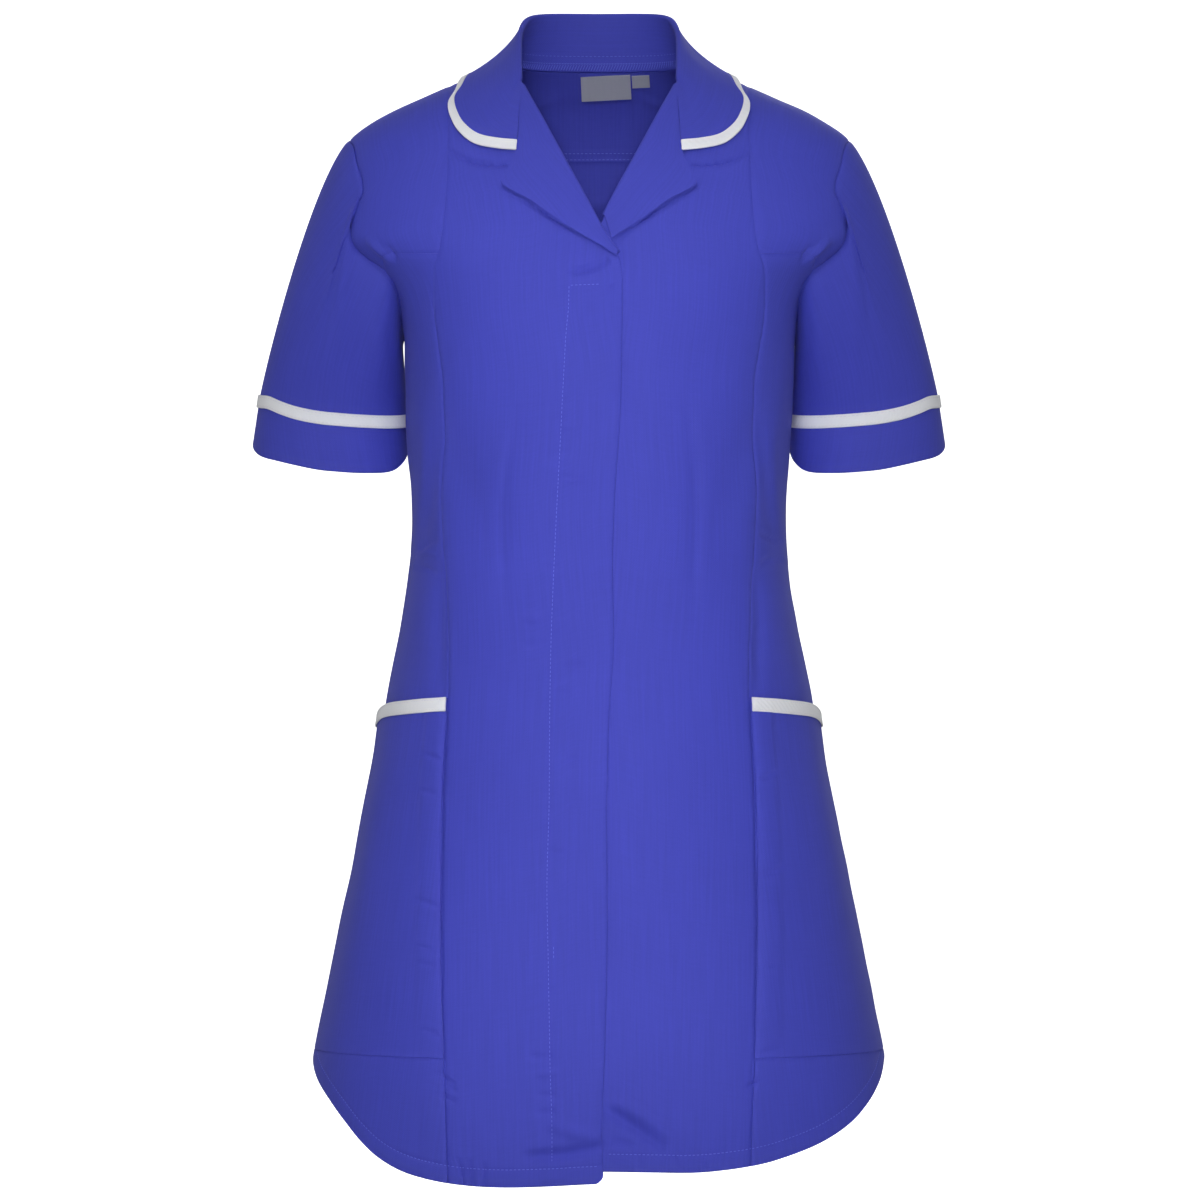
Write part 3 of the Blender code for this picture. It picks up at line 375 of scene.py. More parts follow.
# Row of stitches of the concealed fly.
FLY = (
    # height, x
    (-0.1612, 0.0220),
    (-0.1793, 0.0225),
    (-0.1933, 0.0239),
    (-0.2249, 0.0258),
    (-0.2800, 0.0286),
    (-0.3520, 0.0323),
    (-0.4230, 0.0351),
    (-0.4830, 0.0361),
    (-0.5421, 0.0365),
    (-0.6019, 0.0380),
    (-0.6478, 0.0372),
    (-0.6871, 0.0365),
    (-0.7322, 0.0357),
    (-0.7765, 0.0343),
    (-0.8040, 0.0343),
)
SHOULDER_NECK, SHOULDER_SEAM, SHOULDER_TIP = 0.0080, -0.0090, -0.0490  # heights on the shoulder
FLY_TOP, FLY_FADE = -0.1550, 0.0120  # where the fly's puckers start, and how soon they are full
TACK_TOP, TACK_FOOT, TACK_STEP = -0.6440, -0.6550, 0.0040  # the fly's short second row of stitches
BUST_HEIGHT, BUST_CORNER = -0.1383, -0.1500  # bust seam, at the princess seam and the armhole
BUST_DIP = (-0.1380, -0.1385)  # heights of the bust seam at its thirds
GORGE, BREAK = -0.0130, -0.1310  # heights of the roll line's two ends
ARMHOLE_FOOT = -0.1920
UNDERARM_LEVEL = -0.2350  # height below which the side front's rows spread evenly to the hem
YOKE_HEIGHT = -0.0597
YOKE_ALLOWANCE = -0.0512  # height below which the yoke's seam allowance shows inside
POCKET_FOOT = -0.7290
HEM_BAND = 0.0125  # height of the turned-up hems
NAPE_ROWS = (0.0032, 0.0061, 0.0118)  # distances up the stand of its overlock, its edge, its stitches
TRIM_STITCH = 0.0012  # distance of a trim's stitches from its edges
TRIM_THREAD = 0.00016  # radius of the stitches of a trim
TUCK_DEPTH, TUCK_WIDTH = 0.00135, 0.0016  # how far an edge turns in, and runs on under the next piece
SHARP = math.radians(55)  # angle between two faces past which their edge is shaded sharp
DEGREE = 0.0026  # length of one degree round the body
# Slow waves of the cloth: height in millimetres, turns in radians a metre along x, y and z, start.
DRAPE = (
    (0.22, (31.0, 12.0, 47.0), 0.4),
    (0.20, (-58.0, 20.0, 24.0), 2.1),
    (0.15, (74.0, -15.0, 61.0), 4.0),
    (0.10, (-96.0, 30.0, 118.0), 1.2),
    (0.06, (150.0, 22.0, -171.0), 5.1),
)
CREASE_DEPTH = 4.4  # how many times deeper the front's creases are pressed than FRONT_CREASES says
MILLIMETRE = 0.001


class Side(Enum):
    """A side of the wearer, with the sign of its x."""

    RIGHT = -1
    LEFT = 1

    @property
    def word(self) -> str:
        """The side's name in a node's name."""
        return self.name.lower()


class Rim(Enum):
    """An edge of a grid: the axis that leads away from it, and whether it is at that axis's end."""

    TOP = (0, False)
    BOTTOM = (0, True)
    FIRST = (1, False)
    LAST = (1, True)

    def ahead(self, grid: Array) -> Array:
        """View of a grid with this edge as its first row.

        Args:
            grid: rows and columns.

        Returns:
            The view.
        """
        axis, far = self.value
        turned = np.swapaxes(grid, 0, axis)
        return turned[::-1] if far else turned

    def back(self, grid: Array) -> Array:
        """View of a grid that ahead has turned, turned back.

        Args:
            grid: rows and columns, with this edge as the first row.

        Returns:
            The view.
        """
        axis, far = self.value
        return np.swapaxes(grid[::-1] if far else grid, 0, axis)


# ---- curves and the form -------------------------------------------------------------------------
def smooth(table: Table, column: int, at: Array | float) -> Array:
    """Read a column of a table whose first column rises or falls, on a smooth cubic curve.

    Args:
        table: rows of numbers, the first one being what it is read by.
        column: the column to read.
        at: the values of the first column to read it at.

    Returns:
        The values there, with the slopes at the rows taken from their neighbours.
    """
    rows = np.array(table, float)
    rows = rows[np.argsort(rows[:, 0])]
    knots, values = rows[:, 0], rows[:, column]
    slopes = np.gradient(values, knots)
    at = np.clip(at, knots[0], knots[-1])
    i = np.clip(np.searchsorted(knots, at, side="right") - 1, 0, len(knots) - 2)
    step = knots[i + 1] - knots[i]
    t = (at - knots[i]) / step
    return (
        values[i] * (1 + 2 * t) * (1 - t) ** 2
        + slopes[i] * step * t * (1 - t) ** 2
        + values[i + 1] * t * t * (3 - 2 * t)
        - slopes[i + 1] * step * t * t * (1 - t)
    )


def lengths(path: Array) -> Array:
    """Length of a path from its start to each of its points."""
    return np.concatenate([[0.0], np.cumsum(np.linalg.norm(np.diff(path, axis=0), axis=1))])


def table_at(knots: Array, table: Array, at: Array) -> Array:
    """Rows of a table read on smooth cubics, each row standing at its knot."""
    columns = [smooth(np.stack([knots, column], axis=1), 1, at) for column in table.T]
    return np.stack(columns, axis=1)


def through(points: Array, count: int) -> Array:
    """Read a smooth curve through points at even steps of its length.

    Args:
        points: points or rows of any width, in order.
        count: how many spans the result has.

    Returns:
        count + 1 rows on the cubic through the points, whose slopes come from their neighbours.
    """
    points = np.asarray(points, float)
    knots = lengths(points)
    curve = table_at(knots, points, np.linspace(0, knots[-1], max(8 * count, 200)))
    return even_steps(curve, curve, count)


def even_steps(path: Array, values: Array, count: int) -> Array:
    """Read values that go with a dense path at even steps of the path's length.

    Args:
        path: dense points.
        values: a row of numbers for each point.
        count: how many spans the result has.

    Returns:
        count + 1 rows of values.
    """
    run = lengths(path)
    at = np.linspace(0, run[-1], count + 1)
    return np.stack([np.interp(at, run, values[:, k]) for k in range(values.shape[1])], axis=1)


def signed_power(value: Array, power: float) -> Array:
    """Power of the size of a number, with its sign kept."""
    return np.sign(value) * np.abs(value) ** power


def unit(vectors: Array) -> Array:
    """Vectors of length one along the given ones."""
    return vectors / np.linalg.norm(vectors, axis=-1, keepdims=True)


def ease(value: Array) -> Array:
    """Smooth step from 0 to 1 as the value goes from 0 to 1: three squares less two cubes."""
    value = np.clip(value, 0, 1)
    return value * value * (3 - 2 * value)


def swell(off: Array, width: Array | float) -> Array:
    """Soft bump of height 1: exp(-(off / width)^2)."""
    return np.exp(-((off / width) ** 2))


def section_point(angle: Array, height: Array) -> Array:
    """Point of the plain form: a superellipse at each height, with its own depth before and behind.

    Args:
        angle: angles in degrees.
        height: heights.

    Returns:
        The points, with a last axis of three.
    """
    turn = np.radians(angle)
    across, along = np.sin(turn), np.cos(turn)
    half = smooth(SECTIONS, 1, height)
    depth = np.where(along >= 0, smooth(SECTIONS, 2, height), smooth(SECTIONS, 3, height))
    x = half * signed_power(across, 2 / ROUNDNESS)
    y = -depth * signed_power(along, 2 / ROUNDNESS)
    return np.stack([x, y, height + 0 * x], axis=-1)


def form_normal(angle: Array, height: Array, turn: float = 0.5, rise: float = 0.0008) -> Array:
    """Outward normal of the plain form, across its slopes along the angle and the height.

    Args:
        angle: angles in degrees.
        height: heights.
        turn: half the step of the slope along the angle.
        rise: half the step of the slope along the height.

    Returns:
        Unit vectors.
    """
    angle, height = np.broadcast_arrays(angle, height)
    round_form = section_point(angle + turn, height) - section_point(angle - turn, height)
    up_form = section_point(angle, height + rise) - section_point(angle, height - rise)
    return unit(np.cross(round_form, up_form))


def fold_depth(angle: Array, height: Array) -> Array:
    """Sum of the soft folds: each a smooth bump across its width that fades at both ends.

    Args:
        angle: angles in degrees.
        height: heights.

    Returns:
        How far the folds lift the cloth, in metres.
    """
    turned = np.abs((angle + 180) % 360 - 180)
    total = 0.0 * turned
    for middle, level, half_run, drift, half_width, depth in FOLDS:
        along = (height - level) / half_run
        off = (turned - middle - drift * along) / half_width
        total = total + depth * np.exp(-off * off) * np.clip(1 - along * along, 0, 1) ** 2
    return total


def on_form(angle: Array | float, height: Array | float, lift: Array | float = 0.0) -> Array:
    """Point of the folded form, moved out along the plain form's normal by lift.

    Args:
        angle: angles in degrees.
        height: heights.
        lift: distance moved out.

    Returns:
        The points.
    """
    angle, height = np.broadcast_arrays(np.asarray(angle, float), np.asarray(height, float))
    away = (fold_depth(angle, height) + lift)[..., None]
    return section_point(angle, height) + away * form_normal(angle, height)


def front_angle(x: Array | float, height: Array | float) -> Array:
    """Angle of the point at x on the front of the form."""
    share = np.clip(np.abs(x) / smooth(SECTIONS, 1, height), 0, 1)
    return np.sign(x) * np.degrees(np.arcsin(share ** (ROUNDNESS / 2)))


# ---- seams as functions of height ------------------------------------------------------------------
def princess(height: Array) -> Array:
    """Angle of the princess seam."""
    return front_angle(smooth(PRINCESS_SEAM, 1, height), height)


def front_edge(height: Array) -> Array:
    """Angle of the neck edge above the roll line, then of the roll line and the overlap's edge.

    Args:
        height: heights.

    Returns:
        The angles in degrees.
    """
    front_neck = [(row[1], row[0]) for row in NECK[:5]]
    free = front_angle(smooth(FRONT_EDGE, 1, height), height)
    return np.where(height > GORGE, smooth(front_neck, 1, height), free)


def neck_height(angle: Array) -> Array:
    """Height of the neck edge."""
    return smooth(NECK, 1, angle)


def armhole_path(behind: bool) -> Array:
    """Dense places of the armhole's edge from the shoulder tip to its foot, before or behind.

    Args:
        behind: whether it is the half behind the shoulder.

    Returns:
        Places, dense and in order.
    """
    column = 2 if behind else 1
    path = through([(row[column], row[0]) for row in ARMHOLE], 400)
    depth = smooth(SECTIONS, 3 if behind else 2, path[:, 1])
    share = np.clip(path[:, 0] / depth, 0, 1)
    angle = np.degrees(np.arccos(share ** (ROUNDNESS / 2)))
    return np.stack([180 - angle if behind else angle, path[:, 1]], axis=1)


ARMHOLE_FRONT, ARMHOLE_BACK = armhole_path(False), armhole_path(True)


def armhole_front(height: Array) -> Array:
    """Angle of the armhole's edge before the shoulder."""
    return np.interp(height, ARMHOLE_FRONT[::-1, 1], ARMHOLE_FRONT[::-1, 0])


def armhole_back(height: Array) -> Array:
    """Angle of the armhole's edge behind the shoulder, and of the side seam below it."""
    return np.interp(height, ARMHOLE_BACK[::-1, 1], ARMHOLE_BACK[::-1, 0])


# ---- charts: grids of places -----------------------------------------------------------------------
Edge = Callable[[Array], Array]


def edge_run(edge: Edge, start: float, end: float, count: int) -> Array:
    """Places along an edge between two heights, at even steps of its length in space.

    Args:
        edge: the angle of the edge, as a function of height.
        start: height where the run starts.
        end: height where it ends.
        count: how many spans it has.

    Returns:
        count + 1 places.
    """
    share = np.linspace(0, 1, 600) ** 2
    heights = start + (end - start) * share
    places = np.stack([edge(heights), heights], axis=1)
    heights = even_steps(section_point(places[:, 0], places[:, 1]), places, count)[:, 1]
    heights[0], heights[-1] = start, end
    return np.stack([edge(heights), heights], axis=1)


def blend(top: Array, bottom: Array, first: Array, last: Array) -> Array:
    """Chart between four edges: both pairs blended across, less the blend of the corners.

    Args:
        top: places of the first row.
        bottom: places of the last row.
        first: places of the first column.
        last: places of the last column.

    Returns:
        A chart of len(first) rows and len(top) columns.
    """
    down = np.linspace(0, 1, len(first))[:, None, None]
    across = np.linspace(0, 1, len(top))[None, :, None]
    sides = (1 - across) * first[:, None] + across * last[:, None]
    ends = (1 - down) * top[None] + down * bottom[None]
    corners = (1 - down) * ((1 - across) * top[0] + across * top[-1])
    corners = corners + down * ((1 - across) * bottom[0] + across * bottom[-1])
    return sides + ends - corners


def stack(charts: Sequence[Array]) -> Array:
    """One chart of several that follow each other, without their doubled rows."""
    return np.concatenate([charts[0]] + [chart[1:] for chart in charts[1:]])


def level(first: float, last: float, heights: Array) -> Array:
    """Row of places from the first to the last angle, at even steps."""
    return np.stack([np.linspace(first, last, len(heights)), heights], axis=1)


def between(ends: tuple[Array, Array], count: int) -> Array:
    """Straight row of places between two."""
    share = np.linspace(0, 1, count + 1)[:, None]
    return (1 - share) * ends[0] + share * ends[1]


def hem_row(first: float, last: float, count: int, right: bool) -> Array:
    """Row of places along the hem.

    Args:
        first: angle where the row starts.
        last: angle where it ends.
        count: how many spans it has.
        right: whether it is the right front, which hangs lower.

    Returns:
        count + 1 places.
    """
    angles = np.linspace(first, last, count + 1)
    turned = np.where(angles > 90, 180 - np.abs(angles - 180), angles)
    return np.stack([angles, smooth(HEM, 1 if right else 2, turned)], axis=1)


def bust_seam(count: int) -> Array:
    """Row of places along the bust seam, from the princess seam to the armhole.

    Args:
        count: how many spans the row has.

    Returns:
        count + 1 places.
    """
    first = (float(princess(BUST_HEIGHT)), BUST_HEIGHT)
    last = (float(armhole_front(BUST_CORNER)), BUST_CORNER)
    thirds = [(first[0] + (last[0] - first[0]) * k / 3, h) for k, h in zip((1, 2), BUST_DIP)]
    return through([first, *thirds, last], count)


def overlap_dip(angle: Array, height: Array) -> Array:
    """How far the left front sinks: all the way under the right front, none past its edge.

    Args:
        angle: angles in degrees.
        height: heights.

    Returns:
        How far the cloth is lifted, 0 or less.
    """
    dip, margin, fade = 0.0022, 0.006, 0.022
    x = section_point(angle, height)[..., 0]
    right_edge = -smooth(FRONT_EDGE, 1, height)
    return -dip * (1 - ease((x - right_edge - margin) / fade))


def hem_corner(edge: Edge, right: bool) -> float:
    """Height at which an edge meets the hem, found by turns.

    Args:
        edge: the angle of the edge, as a function of height.
        right: whether it is the right front.

    Returns:
        The height.
    """
    height = -0.8150
    for _ in range(30):
        height = float(smooth(HEM, 1 if right else 2, float(edge(np.array(height)))))
    return height


def finer(chart: Array, axis: int, extra: Iterable[float]) -> Array:
    """Chart with more lines of places at the given shares of one way, from 0 to 1.

    Args:
        chart: rows and columns of places.
        axis: 0 for more rows, 1 for more columns.
        extra: where they go.

    Returns:
        The chart with the new lines between its old ones.
    """
    last = chart.shape[axis] - 1
    at = np.unique(np.concatenate([np.arange(last + 1), np.array(list(extra)) * last]))
    low = np.minimum(at.astype(int), last - 1)
    turned = np.moveaxis(chart, axis, 0)
    part = (at - low).reshape(-1, *[1] * (turned.ndim - 1))
    return np.moveaxis(turned[low] * (1 - part) + turned[low + 1] * part, 0, axis)


# ---- creases ---------------------------------------------------------------------------------------
def pressed(across: Array, along: Array, creases: Iterable[tuple]) -> Array:
    """Sum of soft troughs and ridges over a grid of places.

    Each is depth x exp(-(distance / width)^2) off a smooth line, and fades towards the line's ends
    with the root of the sine of the share of its length.

    Args:
        across: first coordinate of the places, in metres.
        along: second coordinate, in metres.
        creases: rows of depth, width and the points of a line, in millimetres.

    Returns:
        The height at each place, in metres.
    """
    total = np.zeros(across.shape)
    spans = 14
    for depth, width, *points in creases:
        line = through(points, spans) * MILLIMETRE
        reach = 3 * width * MILLIMETRE
        low, high = line.min(axis=0) - reach, line.max(axis=0) + reach
        near = (across > low[0]) & (across < high[0]) & (along > low[1]) & (along < high[1])
        if not near.any():
            continue
        place = np.stack([across[near], along[near]], axis=-1)[:, None]
        span = np.diff(line, axis=0)
        share = ((place - line[:-1]) * span).sum(axis=-1) / (span * span).sum(axis=-1)
        share = np.clip(share, 0, 1)
        off = np.linalg.norm(place - line[:-1] - share[..., None] * span, axis=-1)
        best = off.argmin(axis=1)
        rows = np.arange(len(best))
        run = (best + share[rows, best]) / spans
        bump = swell(off[rows, best], width * MILLIMETRE)
        total[near] += depth * MILLIMETRE * bump * np.sqrt(np.clip(np.sin(math.pi * run), 0, 1))
    return total


def drape(points: Array) -> Array:
    """Slow unevenness of hanging cloth: a few long waves of different directions in space.

    Args:
        points: points in space.

    Returns:
        How far the waves lift the cloth there.
    """
    total = 0.0
    for size, turns, start in DRAPE:
        total = total + size * MILLIMETRE * np.sin(points @ np.array(turns) + start)
    return total


def front_relief(x: Array, height: Array, side: Side) -> Array:
    """Height of the creases of one side's front alone, by x and height."""
    rows = [row[1:] for row in FRONT_CREASES if row[0] == side.value]
    return CREASE_DEPTH * pressed(x, height, rows)


def relief(place: Array, side: Side) -> Array:
    """Height of the creases at places of one side's chart.

    Args:
        place: angles and heights.
        side: the side of the wearer, whose front has its own creases.

    Returns:
        How far the cloth is lifted there.
    """
    angle, height = place[..., 0], place[..., 1]
    points = section_point(angle, height)
    x = np.where(angle < 89.0, points[..., 0], 1.0)
    shared = pressed(x, height, [row[1:] for row in FRONT_CREASES if row[0] == 0])
    own = front_relief(x * side.value, height, side)
    turned = angle if side is Side.LEFT else 360 - angle
    length = DEGREE / MILLIMETRE
    rows = [(*row[:2], *[(turn * length, down) for turn, down in row[2:]]) for row in ROUND_CREASES]
    slow = drape(points * (side.value, 1, 1))
    return CREASE_DEPTH * shared + own + pressed(turned * DEGREE, height, rows) + slow


def edge_distance(grid: Array, edge: Rim) -> Array:
    """Distance over the cloth of every point of a grid from one of its edges.

    Args:
        grid: rows and columns of points.
        edge: the edge.

    Returns:
        The distances, along the rows or columns that lead there.
    """
    axis, far = edge.value
    steps = np.linalg.norm(np.diff(grid, axis=axis), axis=-1)
    pad = [(1, 0), (0, 0)] if axis == 0 else [(0, 0), (1, 0)]
    run = np.cumsum(np.pad(steps, pad), axis=axis)
    if far:
        run = run.max(axis=axis, keepdims=True) - run
    return run


def seamed(grid: Array, edges: Iterable[Rim], depth: float = 0.0007, width: float = 0.0016) -> Array:
    """How far the cloth rolls down towards its sewn edges."""
    return sum(-depth * swell(edge_distance(grid, edge), width) for edge in edges)


def hemmed(grid: Array, seed: float = 0.0) -> Array:
    """A hem's band: a row of stitches pulls the cloth in above it, unevenly, and its fold is fuller.

    Args:
        grid: rows and columns of points.
        seed: shifts the unevenness.

    Returns:
        How far the cloth is lifted.
    """
    sunk, full, full_at = 0.0004, 0.00022, 0.005
    off = edge_distance(grid, Rim.BOTTOM)
    run = edge_distance(grid, Rim.FIRST)
    uneven = 1 + 0.5 * np.sin(run * 260 + seed) * np.sin(run * 97 + 1.3 * seed)
    return full * swell(off - full_at, 0.0045) - sunk * uneven * swell(off - HEM_BAND, 0.0014)


# ---- meshes ----------------------------------------------------------------------------------------
def grid_normals(grid: Array, ring: bool = False) -> Array:
    """Normals of a grid of points, across its slopes along both ways.

    Args:
        grid: rows and columns of points.
        ring: whether the columns run round a tube.

    Returns:
        Unit vectors.
    """
    if ring:
        round_grid = np.roll(grid, -1, axis=1) - np.roll(grid, 1, axis=1)
    else:
        round_grid = np.gradient(grid, axis=1)
    return unit(np.cross(round_grid, np.gradient(grid, axis=0)))


def supported(grid: Array, edge: Rim, near: float = 0.0005) -> Array:
    """Grid with one more line close to an edge, which keeps the shading of its fold narrow.

    Args:
        grid: rows and columns of points.
        edge: the edge.
        near: how close the new line comes.

    Returns:
        The grid with one more row or column.
    """
    turned = edge.ahead(grid)
    step = turned[1] - turned[0]
    share = np.minimum(near / np.maximum(np.linalg.norm(step, axis=-1, keepdims=True), 1e-9), 0.5)
    return edge.back(np.concatenate([turned[:1], turned[:1] + share * step, turned[1:]]))


def tucked(seen: Array, hidden: Array) -> tuple[Array, Array]:
    """A wall with its first edge turned in, as a seam allowance under the next piece's edge.

    Args:
        seen: points of the outer face.
        hidden: points of the inner face.

    Returns:
        Both faces, each with two more columns.
    """
    out = unit(seen[:, 0] - hidden[:, 0])
    away = unit(seen[:, 0] - seen[:, 1])
    corner = seen[:, 0] - TUCK_DEPTH * out
    end = corner + TUCK_WIDTH * away
    under = corner - CLOTH * (out + away), end - CLOTH * out
    seen = np.concatenate([end[:, None], corner[:, None], seen], axis=1)
    return seen, np.concatenate([under[1][:, None], under[0][:, None], hidden], axis=1)


def shell(
    name: str,
    seen: Array,
    hidden: Array,
    side: Side = Side.LEFT,
    ring: bool = False,
    soft: Iterable[Rim] = (),
) -> bpy.types.Object:
    """Close two grids of points into a thin wall of cloth.

    Args:
        name: the piece's name.
        seen: rows and columns of points on the outer face.
        hidden: the same on the inner face.
        side: the wearer's side, which gives x its sign.
        ring: whether the columns run round a tube.
        soft: edges that end in a rounded fold.

    Returns:
        The piece, with a UV map in metres along and across the cloth.
    """
    fullness = 0.42  # how far a folded edge swells out, as a share of the cloth's thickness
    for edge in soft:
        seen, hidden = supported(seen, edge), supported(hidden, edge)
    rows, columns = seen.shape[:2]
    points = np.concatenate([seen.reshape(-1, 3), hidden.reshape(-1, 3)]) * (side.value, 1, 1)
    numbers = np.arange(rows * columns).reshape(rows, columns)
    if ring:
        numbers = np.concatenate([numbers, numbers[:, :1]], axis=1)
    corners = [numbers[1:, :-1], numbers[1:, 1:], numbers[:-1, 1:], numbers[:-1, :-1]]
    outer = np.stack(corners, axis=-1).reshape(-1, 4)
    under = rows * columns
    faces = [outer, outer[:, ::-1] + under]
    extra = [points]
    count = len(points)
    for edge in (Rim.TOP, Rim.BOTTOM) if ring else Rim:
        rim, inner = edge.ahead(numbers)[:2, :: -1 if edge in (Rim.TOP, Rim.LAST) else 1]
        below = rim + under
        if edge in soft:
            away = unit(points[rim] - points[inner]) * CLOTH * fullness
            middle = (points[rim] + points[below]) / 2 + away
            own = count + np.arange(len(rim))
            if ring:
                own[-1] = own[0]
            extra.append(middle)
            count += len(middle)
            faces.append(np.stack([rim[:-1], own[:-1], own[1:], rim[1:]], axis=-1))
            faces.append(np.stack([own[:-1], below[:-1], below[1:], own[1:]], axis=-1))
        else:
            faces.append(np.stack([rim[:-1], below[:-1], below[1:], rim[1:]], axis=-1))
    points = np.concatenate(extra)
    quads = np.concatenate(faces)
    corner = points[quads[:, 0]]
    normals = np.cross(points[quads[:, 1]] - corner, points[quads[:, 2]] - corner)
    normals += np.cross(points[quads[:, 2]] - corner, points[quads[:, 3]] - corner)
    if (corner * normals).sum() < 0:
        quads = quads[:, ::-1]
    across = np.linalg.norm(np.diff(seen, axis=1), axis=-1)
    along = np.linalg.norm(np.diff(seen, axis=0), axis=-1)
    u = np.concatenate([np.zeros((rows, 1)), np.cumsum(across, axis=1)], axis=1)
    v = np.concatenate([np.zeros((1, columns)), np.cumsum(along, axis=0)], axis=0)
    u = u - u[:, columns // 2 : columns // 2 + 1]
    flat = np.stack([u, -v], axis=-1).reshape(-1, 2)
    flat = np.concatenate([flat, flat])
    tail = np.zeros((len(points) - len(flat), 2))
    return mesh_object(name, points, quads, np.concatenate([flat, tail]))


def mesh_object(name: str, points: Array, faces: Array, flat: Array | None = None) -> bpy.types.Object:
    """Make an object of points and equal faces, with an optional UV of each point.

    Args:
        name: the name of the object and its mesh.
        points: its points.
        faces: the point numbers of each face.
        flat: the UV of each point.

    Returns:
        The object, linked to the scene.
    """
    count, corners = faces.shape
    mesh = bpy.data.meshes.new(name)
    mesh.vertices.add(len(points))
    mesh.vertices.foreach_set("co", np.ascontiguousarray(points, np.float32).ravel())
    mesh.loops.add(faces.size)
    mesh.loops.foreach_set("vertex_index", np.ascontiguousarray(faces, np.int32).ravel())
    mesh.polygons.add(count)
    mesh.polygons.foreach_set("loop_start", np.arange(count, dtype=np.int32) * corners)
    mesh.update(calc_edges=True)
    if flat is not None:
        layer = mesh.uv_layers.new(name="cloth")
        layer.uv.foreach_set("vector", flat[faces.ravel()].astype(np.float32).ravel())
    mesh.shade_smooth()
    mesh.set_sharp_from_angle(angle=SHARP)
    made = bpy.data.objects.new(name, mesh)
    bpy.context.scene.collection.objects.link(made)
    return made


def drawn_in(grids: Sequence[Array], edges: Iterable[Rim], gap: float = 0.00004) -> Sequence[Array]:
    """Move the named edges of all grids in by a hair, along the cloth, so that they just meet.

    Args:
        grids: both faces of a wall.
        edges: the edges to move.
        gap: how far they move.

    Returns:
        The same grids, changed.
    """
    for edge in edges:
        turned = [edge.ahead(grid) for grid in grids]
        along = unit(np.gradient(turned[0][0], axis=0))
        inward = turned[0][1] - turned[0][0]
        inward = unit(inward - (inward * along).sum(axis=-1, keepdims=True) * along)
        for grid in turned:
            grid[0] += gap * inward
    return grids


# ---- finishes --------------------------------------------------------------------------------------
Number = "Wire | float"


class Wire:
    """A shader value whose arithmetic adds Math nodes."""

    def __init__(self, nodes: Nodes, socket: bpy.types.NodeSocket) -> None:
        """Wrap an output socket of a material's nodes."""
        self.nodes, self.socket = nodes, socket

    def maths(self, operation: str, *values: Number) -> Wire:
        """Add a Math node."""
        inputs = dict(enumerate(values))
        return self.nodes.add("ShaderNodeMath", {"operation": operation}, inputs)

    def __add__(self, other: Number) -> Wire:
        """Sum."""
        return self.maths("ADD", self, other)

    def __sub__(self, other: Number) -> Wire:
        """Difference."""
        return self.maths("SUBTRACT", self, other)

    def __mul__(self, other: Number) -> Wire:
        """Product."""
        return self.maths("MULTIPLY", self, other)

    def __rsub__(self, other: Number) -> Wire:
        """Difference, from a number."""
        return self.maths("SUBTRACT", other, self)

    __radd__, __rmul__ = __add__, __mul__


class Nodes:
    """The nodes of one material."""

    def __init__(self, name: str) -> None:
        """Start a material with an empty node tree."""
        self.material = bpy.data.materials.new(name)
        self.material.use_nodes = True
        self.tree = self.material.node_tree
        self.tree.nodes.clear()

    def add(
        self,
        kind: str,
        settings: dict | None = None,
        inputs: dict | None = None,
        out: int = 0,
    ) -> Wire:
        """Add a node of any type.

        Args:
            kind: the node's type.
            settings: its settings, set first.
            inputs: the values or wires of its sockets, by name or number.
            out: the number of the output that is returned.

        Returns:
            The wire of that output.
        """
        node = self.tree.nodes.new(kind)
        for key, value in (settings or {}).items():
            setattr(node, key, value)
        for key, value in (inputs or {}).items():
            socket = node.inputs[key]
            if isinstance(value, Wire):
                self.tree.links.new(value.socket, socket)
            else:
                socket.default_value = value
        return Wire(self, node.outputs[out] if node.outputs else None)


